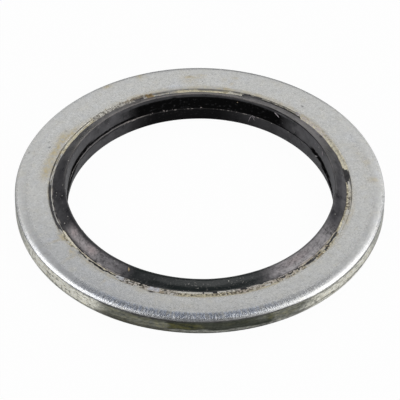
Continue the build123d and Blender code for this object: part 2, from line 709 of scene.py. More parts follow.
@dataclass(frozen=True)
class RubberFinish:
    """Black moulded nitrile rubber with a dry bloom and moulding grain, on the painted masks of the bead,
    which also carry painted sheen, painted highlights, painted light and painted shade.
    """

    rubber: Colour = (0.012, 0.011, 0.013)
    green_black: Colour = (0.006, 0.010, 0.009)
    # Bloom tint; over the inner wall it is painted light where the side softboxes light it.
    bloom_and_light_tint: Colour = (0.098, 0.094, 0.099)
    # Heavy bloom tints, partly painted sheen where the flank faces the side softboxes.
    bloom_and_sheen_tint: Colour = (0.43, 0.405, 0.410)
    rosy_bloom_and_sheen: Colour = (0.48, 0.385, 0.375)
    speck: Colour = (0.20, 0.19, 0.18)
    # Pale tint for painted highlights on the crest, the lips and the ridge.
    pale: Colour = (0.62, 0.56, 0.52)
    # Near-black dull rubber, used for painted shade where the rubber looks black.
    jet: Colour = (0.005, 0.005, 0.005)
    roughness: float = 0.31
    relief_mm: float = 0.006
    cloud: Pattern = Pattern(1.3, 4.0, 0.6)
    grain: Pattern = Pattern(14.0, 3.0, 0.6)
    fine: Pattern = Pattern(5.0, 3.0, 0.65)
    crumbs: Pattern = Pattern(6.5, 1.0, 0.5)
    specks: Pattern = Pattern(8.0, 1.0, 0.5)
    flow: DrawnPattern = DrawnPattern(34.0, 10.0, 3.0, 0.65)
    crumb_rise: Rise = Rise(0.71, 0.78)
    speck_rise: Rise = Rise(0.60, 0.72)
    bloom_rise: Rise = Rise(0.25, 0.65)
    bloom_and_sheen_rise: Rise = Rise(0.28, 0.56)
    pale_rise: Rise = Rise(0.30, 0.52)
    shade_rise: Rise = Rise(0.28, 0.46)
    refraction: float = 1.52

    def material(self) -> bpy.types.Material:
        """Writes the finish: a glossy rubber and a dull black one for painted shade, mixed by the painted
        shade mask.

        Returns:
            The material.
        """
        made, g = new_material("black_nitrile")
        place = g.place_mm()
        dust_and_light = g.attribute("dust_and_light")
        cloud, grain, fine, crumbs, specks = (
            g.noise(place, kind) for kind in (self.cloud, self.grain, self.fine, self.crumbs, self.specks)
        )
        flow = g.drawn_noise(g.attribute("along"), self.flow)
        colour = g.mix(g.attribute("green"), self.rubber, self.green_black)
        colour = g.mix(g.held(g.step(cloud, self.bloom_rise), dust_and_light), colour, self.bloom_and_light_tint)
        bloom_and_sheen = g.attribute("bloom_and_sheen") * g.step(0.3 * cloud + 0.3 * fine + 0.4 * flow, self.bloom_and_sheen_rise)
        colour = g.mix(bloom_and_sheen, colour, g.mix(g.attribute("rosy"), self.bloom_and_sheen_tint, self.rosy_bloom_and_sheen))
        colour = g.shade(colour, 0.36 + 0.75 * fine + 0.6 * flow)
        colour = g.mix(g.attribute("specks") * g.step(specks, self.speck_rise), colour, self.speck)
        pale = g.held(g.attribute("pale"), g.step(grain, self.pale_rise))
        colour = g.mix(g.greatest(pale, 0.4 * g.step(crumbs, self.crumb_rise) * dust_and_light), colour, self.pale)
        glossy = g.node("ShaderNodeBsdfPrincipled", {}, {
            "Base Color": colour,
            "Roughness": self.roughness + 0.25 * (cloud - 0.5) + 0.12 * (flow - 0.5) + 0.2 * pale,
            "IOR": self.refraction,
            "Normal": g.bump(0.5 * grain + 0.5 * flow + cloud, self.relief_mm),
        })
        dull = g.node("ShaderNodeBsdfDiffuse", {}, {"Color": self.jet})
        jet = g.held(g.attribute("jet"), g.step(0.5 * flow + 0.5 * fine, self.shade_rise))
        g.finish(g.blend(jet, glossy, dull))
        return made


@dataclass(frozen=True)
class ResidueFinish:
    """Dried bonding agent: a cream film with tan, brown and bluish grey places, on its painted masks."""

    cream: Colour = (0.84, 0.77, 0.56)
    tan: Colour = (0.46, 0.40, 0.26)
    brown: Colour = (0.075, 0.055, 0.035)
    grey: Colour = (0.64, 0.655, 0.70)
    rust: Colour = (0.38, 0.27, 0.13)
    pink: Colour = (0.66, 0.58, 0.54)
    bright: Colour = (0.98, 0.93, 0.82)
    roughness: float = 0.5
    relief_mm: float = 0.012
    metallic: float = 0.1
    patch: Pattern = Pattern(3.5, 3.0, 0.65)
    mottle: Pattern = Pattern(5.5, 3.0, 0.7)
    grain: Pattern = Pattern(11.0, 3.0, 0.7)
    dots: Pattern = Pattern(7.0, 2.0, 0.6)
    tan_rise: Rise = Rise(0.49, 0.66)
    bright_rise: Rise = Rise(0.38, 0.52)
    pink_rise: Rise = Rise(0.45, 0.60)
    brown_rise: Rise = Rise(0.58, 0.42)

    def material(self) -> bpy.types.Material:
        """Writes the finish.

        Returns:
            The material.
        """
        made, g = new_material("bonding_agent")
        place = g.place_mm()
        patch, mottle, grain, dots = (
            g.noise(place, kind) for kind in (self.patch, self.mottle, self.grain, self.dots)
        )
        colour = g.mix(g.step(patch, self.tan_rise), self.cream, self.tan)
        colour = g.mix(g.attribute("grey"), colour, self.grey)
        colour = g.shade(colour, 0.50 + 1.0 * mottle)
        colour = g.mix(g.attribute("bright") * g.step(dots, self.bright_rise), colour, self.bright)
        colour = g.mix(g.attribute("pink") * g.step(dots, self.pink_rise), colour, self.pink)
        colour = g.mix(g.attribute("rust"), g.shade(colour, 0.55 + 0.9 * grain), self.rust)
        colour = g.mix(g.held(g.attribute("brown"), g.step(dots, self.brown_rise)), colour, self.brown)
        g.finish(g.node("ShaderNodeBsdfPrincipled", {}, {
            "Base Color": colour,
            "Metallic": self.metallic,
            "Roughness": self.roughness + 0.2 * (grain - 0.5),
            "Normal": g.bump(grain, self.relief_mm),
        }))
        return made


@dataclass(frozen=True)
class DustFinish:
    """Pale dust or lint, faintly mottled."""

    name: str
    pale: Colour
    dull: Colour
    roughness: float = 0.7
    relief_mm: float = 0.01
    patch: Pattern = Pattern(8.0, 2.0, 0.6)
    dull_rise: Rise = Rise(0.4, 0.7)

    def material(self) -> bpy.types.Material:
        """Writes the finish.

        Returns:
            The material.
        """
        made, g = new_material(self.name)
        patch = g.noise(g.place_mm(), self.patch)
        g.finish(g.node("ShaderNodeBsdfPrincipled", {}, {
            "Base Color": g.mix(g.step(patch, self.dull_rise), self.pale, self.dull),
            "Roughness": self.roughness + 0.2 * (patch - 0.5),
            "Normal": g.bump(patch, self.relief_mm),
        }))
        return made


WHITE_DUST = DustFinish("white_dust", pale=(0.62, 0.61, 0.56), dull=(0.30, 0.29, 0.26))
RIDGE_HIGHLIGHT_DUST = DustFinish("ridge_highlight_pink", pale=(0.52, 0.44, 0.42), dull=(0.20, 0.17, 0.17))
CREAM_DUST = DustFinish("cream_crumbs", pale=(0.66, 0.52, 0.32), dull=(0.34, 0.26, 0.14))
GREY_LINT = DustFinish("grey_lint", pale=(0.60, 0.54, 0.56), dull=(0.34, 0.30, 0.32))


# ---- steel ring

@dataclass
class SteelRing:
    """The stamped ring: flat faces, a ledge round each side of its bore, a die roll and a sheared wall."""

    outer_radius: float
    bore_radius: float = 10.25
    riser_foot: float = 10.73
    riser_top: float = 10.77
    riser_play: float = 0.16
    riser_wander: float = 0.018
    riser_in: float = -0.100
    riser_right: float = 0.035
    riser_back: float = -0.080
    roll_start: float = 11.70
    roll_end: float = 12.955
    gentle_drop: float = 0.036
    steep_drop: float = 0.085
    wall_top: float = 1.79
    lower_round: float = 0.35
    smear_turn: float = 0.9
    smear_mm: float = 0.07
    foot_widening: Arc = Arc(252, 345, 0.33, 34)
    face_height: float = 1.95
    base_height: float = 0.45
    ledge_depth: float = 0.12
    face_wave: float = 0.003
    turns: int = 800
    knee_drop: float = 0.012
    wave_edge: float = 0.1
    top_steps: Sequence[int] = (8, 24, 18, 26)
    wall_steps: Sequence[int] = (6, 14)
    round_steps: int = 9
    lower_steps: Sequence[int] = (8, 3, 3, 2)
    riser_noise: RingNoise = RingNoise(11, 24, 1.0, 3)
    wave_noise: RingNoise = RingNoise(21, 14, 0.8, 2)
    stain_noise: RingNoise = RingNoise(31, 90, 3.0, 3)
    crust_noise: RingNoise = RingNoise(33, 160, 2.0, 3)
    corner_noise: RingNoise = RingNoise(41, 60, 2.0, 3)
    grime_and_shade_noise: RingNoise = RingNoise(42, 130, 1.0, 2)
    smear_round: RingNoise = RingNoise(61, 70, 4.0, 3)
    smear_up: RingNoise = RingNoise(62, 60, 3.0, 3)
    wave_start: Rise = Rise(10.82, 11.02)
    roll_in: Rise = Rise(12.0, 12.35)
    roll_out: Rise = Rise(12.95, 12.70)
    wall_below: Rise = Rise(1.82, 1.77)
    wall_outside: Rise = Rise(12.80, 12.90)
    wall_side: Rise = Rise(12.93, 12.985)
    corner_break: Rise = Rise(-0.6, 0.3)
    corner_width: float = 0.03
    grime_and_shade_wander: float = 0.03
    fringe_out: float = 0.02
    fringe_width: float = 0.07
    fringe_stain: float = 0.35
    ledge_stain: float = 0.40
    low_ledge_stain: float = 0.25
    ledge_edge: float = 0.04
    crust_in: Rise = Rise(-0.07, -0.04)
    crust_out: Rise = Rise(0.05, 0.0)
    crust_ragged: float = 0.02
    line_in: Rise = Rise(0.0, 0.012)
    line_out: Rise = Rise(0.05, 0.035)
    # Where the plate is painted darker: the front left.
    darker_arc: Arc = Arc(198, 250, 1, 30)
    stain_marks: Sequence[Mark] = (
        Spot(146, 10.78, 1.2, 0.2, 0.55), Spot(156, 10.88, 1.3, 0.3, 0.75),
        Spot(163.5, 10.86, 1, 0.3, 0.75), Spot(169, 10.96, 1.2, 0.32, 0.95),
        Spot(164.5, 11.06, 0.1, 0.08, 1), Spot(152, 11.25, 0.7, 0.25, 0.45),
        Spot(81.5, 10.72, 0.4, 0.08, 0.9), Band(28, 128, 10.62, 10.9, 0.34, 24, 0.2),
        Spot(206.4, 10.8, 0.35, 0.2, 0.55), Spot(209.5, 10.77, 0.35, 0.14, 0.6),
        Spot(215.2, 10.8, 0.45, 0.14, 0.6), Spot(78.5, 11.32, 0.2, 0.2, 0.7),
        Spot(78.1, 12, 0.22, 0.16, 0.6), Spot(81.4, 11.66, 0.2, 0.2, 0.4), Spot(94.2, 11.85, 0.3, 0.14, 1),
        Spot(89.6, 12.02, 0.26, 0.12, 0.8), Spot(92, 11.75, 0.5, 0.12, 0.5), Spot(94, 11.5, 0.6, 0.6, 0.3),
        Spot(110.5, 12.72, 0.18, 0.3, 1.5), Spot(122, 12.7, 0.3, 0.22, 0.9),
        Spot(108.5, 12.55, 0.12, 0.2, 0.5), Spot(5, 12.25, 0.3, 0.35, 0.5),
        Spot(13.5, 12.1, 0.5, 0.3, 0.35), Spot(20, 11.8, 0.6, 0.35, 0.3),
        Spot(208.5, 11.6, 0.12, 0.75, 0.5), Spot(218.5, 11.4, 0.15, 0.55, 0.5),
        Spot(216.5, 11, 0.25, 0.2, 0.5), Spot(235, 11.2, 0.1, 0.55, 0.35),
        Spot(226, 10.92, 1.2, 0.14, 0.22), Spot(246, 10.95, 1.6, 0.14, 0.2),
        Band(259, 302, 10.66, 10.79, 0.55, 6, 0.06), Spot(290, 10.84, 1.6, 0.08, 0.45),
        Spot(350, 10.88, 1.8, 0.14, 0.35), Spot(333, 10.85, 1.5, 0.1, 0.35),
    )
    cool_marks: Sequence[Mark] = (
        Spot(100, 10.88, 0.5, 0.2, 1.8), Spot(78, 10.84, 0.22, 0.1, 0.9), Spot(207.4, 11.5, 0.22, 0.3, 0.9),
        Spot(237.5, 11.32, 0.35, 0.28, 0.9), Spot(26, 12, 0.8, 0.35, 0.5), Spot(7, 12.62, 0.6, 0.2, 0.5),
    )
    # Dirt specks, and painted gap shadows on the ledge beside the bead.
    grime_and_shadow_marks: Sequence[Mark] = (
        Spot(158.8, 11.47, 0.06, 0.06, 0.8), Spot(156.4, 11.72, 0.05, 0.05, 0.6),
        Spot(148.5, 11.26, 0.06, 0.06, 0.7), Spot(163.3, 12.66, 0.1, 0.07, 0.5),
        Spot(49.8, 11.42, 0.09, 0.07, 0.7), Spot(357.1, 12.87, 0.05, 0.05, 0.9),
        Spot(109, 12.88, 0.05, 0.07, 0.6), Spot(93.8, 11.95, 0.1, 0.08, 0.35),
        Band(178, 205, 10.54, 10.68, 0.4, 6, 0.08), Band(8, 112, 10.56, 10.86, 0.06, 20, 0.16),
        Band(160, 181, 10.5, 10.58, 0.25, 4), Band(314, 322, 10.5, 10.56, 0.25, 2),
        Band(3, 11, 10.6, 10.66, 0.35, 2), Spot(208, 10.55, 0.1, 0.05, 0.6),
        Spot(218, 10.48, 0.18, 0.06, 0.7), Spot(239.8, 10.66, 0.1, 0.06, 0.9),
        Spot(252.4, 10.74, 0.22, 0.09, 1.7), Spot(250.4, 10.69, 0.16, 0.05, 0.5),
        Spot(322, 10.66, 0.1, 0.05, 0.5),
    )
    # Painted highlights on the die roll: glints over its front, sparkles on the left and a bright nick.
    glint_marks: Sequence[Mark] = (
        Band(236, 302, 12.5, 12.88, 0.85, 14, 0.2), Band(192, 202, 12.7, 12.95, 0.6, 4, 0.1),
        Spot(258.5, 12.8, 0.26, 0.08, 1.6),
    )
    crust_arcs: Sequence[Arc] = (
        Arc(11, 46, 0.95, 5), Arc(46, 74, 0.7, 6), Arc(112, 136, 0.8, 5), Arc(136, 156, 0.45, 5),
    )
    # A painted highlight just outside the riser.
    riser_highlight_line: Arc = Arc(131, 154, 0.95, 6)
    # Painted shade in the ledge's corner at the riser's foot.
    corner_shade_arcs: Sequence[Arc] = (
        Arc(334, 372, 0.58, 6), Arc(74, 110, 0.8, 6), Arc(140, 166, 0.2, 8), Arc(166, 204, 0.3, 8),
    )
    # Painted dark reflection over the front of the die roll.
    blue_shade_marks: Sequence[Mark] = (
        Band(236, 292, 12.22, 12.76, 0.84, 24, 0.2), Band(288, 318, 12.15, 12.6, 0.1, 16, 0.2),
    )
    # Olive passivation and painted shade over the front wall.
    olive_and_shade_marks: Sequence[Mark] = (
        Band(238.5, 266, 0.2, 2, 0.72, 7, 0.05), Band(238.5, 262, 0.3, 0.88, 0.16, 7, 0.08),
        Band(248, 263, 1.5, 2, 0.12, 6, 0.1), Band(262, 291, 0.2, 2, 0.97, 5, 0.05),
        Band(289, 302, 0.2, 2, 0.66, 6, 0.05), Band(301, 309, 1.25, 1.7, 0.36, 3, 0.1),
        Band(303, 332, 1.63, 1.75, 0.45, 6, 0.05),
    )
    bare_marks: Sequence[Mark] = (
        Band(261, 300, 0.76, 0.98, 0.6, 6, 0.05), Spot(272.3, 1.02, 0.4, 0.05, 0.6, 13),
        Spot(289.2, 1.5, 0.45, 0.22, 0.3, 13),
    )
    green_marks: Sequence[Mark] = (
        Band(239, 262, 0.6, 1.7, 0.62, 6, 0.15), Band(258, 271, 1.08, 1.56, 1, 7, 0.24),
        Band(276, 288, 1.3, 1.6, 0.25, 4, 0.12), Band(290.5, 301, 1.2, 1.78, 1, 3, 0.12),
        Band(301, 309, 1.25, 1.7, 0.5, 3, 0.12),
    )
    # Worn wall with a painted reflection of the lit floor.
    worn_and_lit_marks: Sequence[Mark] = (
        Band(203, 239, 0.88, 1.76, 1, 8, 0.1), Band(305, 337, 0.98, 1.67, 1, 5, 0.1),
        Band(303.5, 337, 0.3, 0.92, 0.4, 5, 0.06),
    )
    # Painted shade under the roll's edge and along the wall's lower edge, and a few scratches.
    wall_grime_and_shade: Sequence[Mark] = (
        Band(236, 303, 1.73, 1.88, 0.9, 14, 0.03), Band(303, 340, 1.73, 1.79, 0.22, 6, 0.04),
        Band(212, 240, 0.8, 0.88, 0.45, 6, 0.04), Band(238, 262, 0.88, 1.05, 0.6, 6, 0.05),
        Band(238, 262, 0.66, 0.86, 0.38, 6, 0.05), Band(222, 235, 1.74, 1.78, 0.3, 4, 0.03),
        Spot(221, 1.55, 0.34, 0.05, 0.35, 12.995), Spot(227, 1.1, 0.3, 0.03, 0.35, 12.995),
        Band(300, 342, 0.94, 1.03, 0.6, 10, 0.05), Band(294, 306, 0.76, 0.98, 0.32, 6, 0.06),
    )

    def roll_fall(self, radius: Grid) -> Grid:
        """How far the die roll has fallen at a radius: gentle s^2 + steep s^4, s running from 0 to 1."""
        share = np.clip((radius - self.roll_start) / (self.roll_end - self.roll_start), 0.0, None)
        return self.gentle_drop * share ** 2 + self.steep_drop * share ** 4

    def riser_drift(self, azimuth: Grid) -> Grid:
        """How far the riser stands outside its mean radius: it is a little off centre, and wanders.

        Args:
            azimuth: degrees.

        Returns:
            Millimetres outwards.
        """
        angle = np.radians(azimuth)
        off_centre = self.riser_in + self.riser_right * np.cos(angle) + self.riser_back * np.sin(angle)
        return off_centre + self.riser_wander * self.riser_noise.round_turn(azimuth)

    def top_height(self, radius: Grid, azimuth: Grid) -> Grid:
        """Height of the upper side: the ledge, eased up over the riser to the face, less the roll's fall."""
        rise = ease(radius - self.riser_drift(azimuth), self.riser_foot, self.riser_top)
        return self.face_height - self.ledge_depth * (1 - rise) - self.roll_fall(radius)

    def top_stations(self) -> Grid:
        """Lays out the upper side, from the bore out to the end of the die roll, closest at the riser.

        Returns:
            Radius and height of each station.
        """
        ledge = self.face_height - self.ledge_depth
        near, past = self.riser_foot - self.riser_play, self.riser_top + self.riser_play
        ends = (near, past, self.roll_start, self.roll_end)
        return path((self.bore_radius, ledge), [[(end, ledge)] for end in ends], self.top_steps)

    def section(self) -> Grid:
        """Lays out the whole section: the upper side, the wall, its lower round and back below.

        Returns:
            Radius and height of each station.
        """
        low, low_ledge = self.base_height, self.base_height + self.ledge_depth
        edge_height = self.face_height - self.gentle_drop - self.steep_drop
        wall_foot = low + self.lower_round
        knee = (self.outer_radius, edge_height - self.knee_drop)
        wall = path((self.roll_end, edge_height), (
            [knee, (self.outer_radius, self.wall_top)],
            [(self.outer_radius, wall_foot)],
        ), self.wall_steps)
        below = path((self.outer_radius - self.lower_round, low), (
            [(self.riser_top, low)],
            [(self.riser_foot, low_ledge)],
            [(self.bore_radius, low_ledge)],
            [(self.bore_radius, self.face_height - self.ledge_depth)],
        ), self.lower_steps)
        return np.concatenate([self.top_stations(), wall, self.lower_bend(wall_foot), below])

    def lower_bend(self, wall_foot: float) -> Grid:
        """The quarter round between the wall and the lower face, stations at even angles on its circle.

        Args:
            wall_foot: height at which the wall ends.

        Returns:
            Radius and height of each station.
        """
        angle = -np.arange(self.round_steps)[:, None] / self.round_steps * math.pi / 2
        centre = np.array([self.outer_radius - self.lower_round, wall_foot])
        return centre + self.lower_round * np.concatenate([np.cos(angle), np.sin(angle)], axis=1)

    def rounder_foot(self, azimuth: Grid, radius: Grid, height: Grid) -> tuple[Grid, Grid]:
        """Widens the lower round where the stamping is rounder.  Inside the round's square, distances from
        its outer lower corner are multiplied by the widening, and the wall above it is shortened to match.

        Args:
            azimuth: degrees.
            radius: millimetres.
            height: millimetres.

        Returns:
            The moved radii and heights.
        """
        wider = 1.0 + self.foot_widening.cover(azimuth)
        foot = self.base_height + self.lower_round
        wider_foot = self.base_height + self.lower_round * wider
        outside = radius > self.outer_radius - self.lower_round - TINY
        corner = outside & (height < foot + TINY)
        on_wall = (radius > self.outer_radius - TINY) & (height >= foot + TINY) & (height <= self.wall_top)
        left = self.wall_top - height
        shortened = self.wall_top - left * (self.wall_top - wider_foot) / (self.wall_top - foot)
        moved = np.where(corner, self.outer_radius - (self.outer_radius - radius) * wider, radius)
        lifted = np.where(corner, self.base_height + (height - self.base_height) * wider, height)
        return moved, np.where(on_wall, shortened, lifted)

    def surface(self) -> Surface:
        """Turns the section round the axis, with the upper side's height from top_height and the slight
        waves of a tumbled stamping, and paints the masks that the finish reads.

        Returns:
            The ring's surface.
        """
        stations = self.section()
        azimuth, radius, height, along = spread(stations, self.turns)
        top = np.arange(len(stations)) < len(self.top_stations())
        radius, height = self.rounder_foot(azimuth, radius, height)
        height = np.where(top, self.top_height(np.where(top, radius, self.riser_top), azimuth), height)
        wave = self.face_wave * self.wave_noise.at(azimuth, radius) * self.wave_start.of(radius)
        wave = wave * ease(radius, self.outer_radius, self.outer_radius - self.wave_edge)
        height = height + np.where(top, wave, 0.0)
        moved = self.smeared(azimuth, height)
        upper = {
            "roll": self.roll_in.of(radius) * self.roll_out.of(radius),
            "glint": cover_of(self.glint_marks, azimuth, radius),
            "crust_and_highlight": self.crust_and_highlight(azimuth, radius),
            "cool": cover_of(self.cool_marks, azimuth, radius),
            "blue_shade": cover_of(self.blue_shade_marks, azimuth, radius),
        }
        return Surface(azimuth, radius, height, {
            **{name: np.where(top, mask, 0.0) for name, mask in upper.items()},
            "along": along,
            "stain": self.stain(azimuth, radius, top),
            "grime_and_shade": self.grime_and_shade(azimuth, radius, moved, top),
            "tone": self.darker_arc.cover(azimuth) + 0.0 * radius,
            "wall": self.wall_below.of(height) * self.wall_outside.of(radius),
            "olive_and_shade": np.maximum(cover_of(self.olive_and_shade_marks, *moved) - cover_of(self.bare_marks, *moved), 0.0),
            "green": cover_of(self.green_marks, *moved),
            "worn_and_lit": cover_of(self.worn_and_lit_marks, *moved),
        })

    def smeared(self, azimuth: Grid, height: Grid) -> tuple[Grid, Grid]:
        """Azimuths and heights moved by noise, so that straight limits read at them come out smeared."""
        sideways, upwards = self.smear_round.at(azimuth, height), self.smear_up.at(azimuth, height)
        return azimuth + self.smear_turn * sideways, height + self.smear_mm * upwards

    def stain(self, azimuth: Grid, radius: Grid, top: Grid) -> Grid:
        """Tan film: a fringe outside the riser, the ledge itself and marks further out, broken by noise.

        Args:
            azimuth: degrees.
            radius: millimetres.
            top: true on the upper side.

        Returns:
            The mask.
        """
        riser = self.riser_top + self.riser_drift(azimuth)
        fringe = np.exp(-((radius - riser - self.fringe_out) / self.fringe_width) ** 2)
        ledge = ease(radius, riser, riser - self.ledge_edge)
        cover = cover_of(self.stain_marks, azimuth, radius)
        cover = cover + self.fringe_stain * fringe + self.ledge_stain * ledge
        uneven = 0.80 + 0.5 * self.stain_noise.at(azimuth, radius)
        return np.where(top, np.clip(cover * uneven, 0.0, 1.0), self.low_ledge_stain * ledge)

    def crust_and_highlight(self, azimuth: Grid, radius: Grid) -> Grid:
        """Bonding agent dried over the riser and its edge, in a tint light enough to cover the riser's shade:
        stretches of it astride the riser, and a painted highlight line just outside it.

        Args:
            azimuth: degrees.
            radius: millimetres.

        Returns:
            The mask.
        """
        astride = radius - self.riser_top - self.riser_drift(azimuth)
        ragged = astride + self.crust_ragged * self.crust_noise.at(azimuth, radius)
        band = self.crust_in.of(ragged) * self.crust_out.of(ragged) * arcs_cover(self.crust_arcs, azimuth)
        line = self.line_in.of(astride) * self.line_out.of(astride) * self.riser_highlight_line.cover(azimuth)
        return np.clip(band + line, 0.0, 1.0)

    def grime_and_shade(self, azimuth: Grid, radius: Grid, moved: tuple[Grid, Grid], top: Grid) -> Grid:
        """Dark dirt and painted shade: a painted shade line in the ledge's corner, broken round the turn, the
        named marks of dirt and painted gap shadow, and the painted shade lines and scratches on the wall.

        Args:
            azimuth: degrees.
            radius: millimetres.
            moved: azimuths and heights to read the wall's marks at.
            top: true on the upper side.

        Returns:
            The mask.
        """
        corner = np.exp(-((radius - self.riser_foot - self.riser_drift(azimuth)) / self.corner_width) ** 2)
        corner = corner * arcs_cover(self.corner_shade_arcs, azimuth)
        broken = self.corner_break.of(self.corner_noise.at(azimuth, radius))
        wander = radius + self.grime_and_shade_wander * self.grime_and_shade_noise.round_turn(azimuth)
        upper = cover_of(self.grime_and_shadow_marks, azimuth, wander) + corner * broken
        side = cover_of(self.wall_grime_and_shade, *moved) * self.wall_side.of(radius)
        return np.clip(np.where(top, upper, side), 0.0, 1.0)

    def build(self, finish: ZincFinish) -> bpy.types.Object:
        """Builds, dresses and seats the ring.

        Args:
            finish: its plating.

        Returns:
            The piece.
        """
        piece = self.surface().build("steel_ring_plated")
        piece.data.materials.append(finish.material())
        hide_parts("steel_ring")
        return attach(piece, BODY)


# ---- rubber bead

@dataclass
class RubberBead:
    """The moulded bead: a trapezoid with two lips, leaning walls and the witness ridge of the mould joint."""

    height: float
    bond_radius: float = 10.25
    ledge_height: float = 1.83
    foot_radius: float = 10.36
    foot_rise: float = 0.07
    lip_outer: float = 9.55
    lip_inner: float = 9.45
    edge_round: float = 0.022
    flank_hollow: float = 0.04
    wall_waist: float = 9.38
    ridge_radius: float = 9.35
    ridge_half: float = 0.06
    ridge_wear: float = 0.022
    turns: int = 1000
    upper_steps: Sequence[int] = (2, 2, 2, 5, 18, 4, 3, 5, 13, 4, 2)
    lower_steps: Sequence[int] = (2, 2, 2, 2, 5, 2, 1, 3, 13, 4, 2)
    lip_mouth: float = 0.028
    lip_land: float = 0.015
    lip_drop: float = 0.014
    ridge_slope: float = 0.05
    foot_noise: RingNoise = RingNoise(51, 70, 1.0, 3)
    foot_wander: float = 0.022
    lump_noise: RingNoise = RingNoise(52, 46, 2.2, 3)
    lump_mm: float = 0.006
    ridge_noise: RingNoise = RingNoise(53, 80, 1.0, 3)
    ridge_spread: float = 0.085
    ridge_break: Rise = Rise(-0.15, 0.6)
    above_ledge: Rise = Rise(1.84, 1.86)
    off_bond: Rise = Rise(10.20, 9.60)
    lump_inside: Rise = Rise(10.2, 9.9)
    lump_above: Rise = Rise(1.92, 1.97)
    lump_below: Rise = Rise(2.37, 2.32)
    ridge_inside: Rise = Rise(9.5, 9.45)
    bulge_below: float = 0.7
    bulge_above: Rise = Rise(-0.1, 0.2)
    bulge_inside: Rise = Rise(9.7, 9.6)
    nick_above: Rise = Rise(2.2, 2.3)
    flank_above: Rise = Rise(1.84, 1.87)
    flank_outside: Rise = Rise(9.50, 9.54)
    wall_inside: Rise = Rise(9.50, 9.47)
    lip_above: Rise = Rise(2.33, 2.37)
    shade_above: Rise = Rise(2.3, 2.35)
    crest_width: Rise = Rise(0.05, 0.02)
    crest_noise: RingNoise = RingNoise(56, 150, 1.0, 2)
    crest_break: Rise = Rise(-0.5, 0.2)
    dot_noise: RingNoise = RingNoise(54, 620, 1.0, 1)
    dot_rise: Rise = Rise(0.0, 0.40)
    gap_noise: RingNoise = RingNoise(57, 150, 1.0, 2)
    gap_rise: Rise = Rise(-0.7, 0.5)
    least_fleck: float = 0.12
    shade_noise: RingNoise = RingNoise(55, 120, 1.0, 3)
    shade_wander: float = 0.04
    low_wall_light: float = 0.75
    wall_light_rise_mm: float = 0.2
    foot_reach: Sequence[Arc] = (
        Arc(-24, 12, -0.045, 8), Arc(12, 66, -0.005, 8), Arc(68, 112, -0.1, 10), Arc(112, 160, -0.03, 10),
        Arc(164, 200, 0.03, 10), Arc(204, 238, -0.1, 5), Arc(238, 300, -0.19, 6), Arc(300, 313, -0.14, 3),
        Arc(313, 336, -0.115, 3),
    )
    off_centre: float = 0.03
    crest_inset: float = 0.025
    left_swell: Arc = Arc(185, 262, 0.03, 30)
    bulge: Arc = Arc(165, 190, 0.07, 12)
    nicks: Sequence[Spot] = (
        Spot(188, 9.45, 0.08, 0.1, 0.05, 9.45), Spot(211, 9.45, 0.08, 0.1, 0.03, 9.45),
    )
    # Painted highlights: the light line along the foot's crest, the lips' light lines and the ridge's broken
    # highlight.
    crest_highlight_arcs: Sequence[Arc] = (
        Arc(163, 180, 0.3, 6), Arc(180, 205, 0.55, 3), Arc(216, 233, 1, 2), Arc(233, 238, 0.6, 2),
        Arc(313, 337, 0.85, 3), Arc(0, 10, 0.2, 4),
    )
    lip_highlight_lines: Sequence[Band] = (
        Band(8, 60, 9.5, 9.56, 0.2, 8, 0.03), Band(60, 108, 9.46, 9.56, 0.34, 8, 0.03),
        Band(108, 157, 9.5, 9.56, 0.55, 8, 0.03), Band(157, 176, 9.53, 9.58, 0.25, 8, 0.03),
    )
    ridge_highlight_flecks: Sequence[Mark] = (
        Band(55, 100, 1.03, 1.12, 1.3, 6, 0.04), Band(98, 126, 1.07, 1.16, 1.4, 6, 0.04),
        Spot(89.5, 1.08, 0.14, 0.05, 3, 9.4),
    )
    ridge_highlight_line: Band = Band(114, 170, 1.14, 1.21, 0.62, 8, 0.04)
    # Painted shade on the inner wall and along the lip's inner edge.
    wall_shade_bands: Sequence[Band] = (
        Band(3, 15, 0.35, 1.1, 1.5, 4, 0.1), Band(12, 23, 0.58, 1.27, 1.5, 4, 0.1),
        Band(20, 32, 0.92, 1.38, 1.4, 4, 0.08), Band(28, 56, 1.11, 1.22, 0.9, 4, 0.05),
        Band(48, 123, 1.14, 2.18, 1.1, 16, 0.06), Band(72, 121, -0.2, 1.14, 0.9, 24, 0.06),
        Band(122, 172, 1.28, 1.44, 1.2, 6, 0.06), Band(146, 168, 1.34, 1.62, 1.1, 8, 0.08),
        Band(128, 166, 0.95, 1.05, 0.8, 6, 0.04), Band(160, 184, 0.66, 1.34, 0.9, 8, 0.1),
    )
    lip_shade_bands: Sequence[Band] = (
        Band(18, 62, 9.44, 9.485, 0.9, 8, 0.02),
    )
    # Painted light on the inner wall where the side softboxes light it.
    wall_painted_light: Sequence[Arc] = (
        Arc(-20, 52, 1.1, 10), Arc(52, 120, 0.28, 10), Arc(120, 200, 0.95, 10),
    )
    bloom_marks: Sequence[Mark] = (
        Band(-26, 10, 9.5, 10.35, 0.8, 12, 0.1), Band(10, 60, 9.5, 10.35, 1, 12, 0.1),
        Band(60, 100, 9.5, 10.35, 1, 10, 0.1), Band(100, 160, 9.5, 10.35, 0.9, 16, 0.1),
        Band(158, 200, 9.5, 10.35, 0.45, 10, 0.1), Band(222, 240, 9.55, 10.3, 0.9, 8, 0.1),
        Band(240, 256, 9.6, 10.2, 0.2, 10, 0.1), Band(290, 300, 9.6, 10.2, 0.25, 8, 0.1),
        Band(330, 360, 9.55, 10.3, 0.9, 8, 0.1),
    )
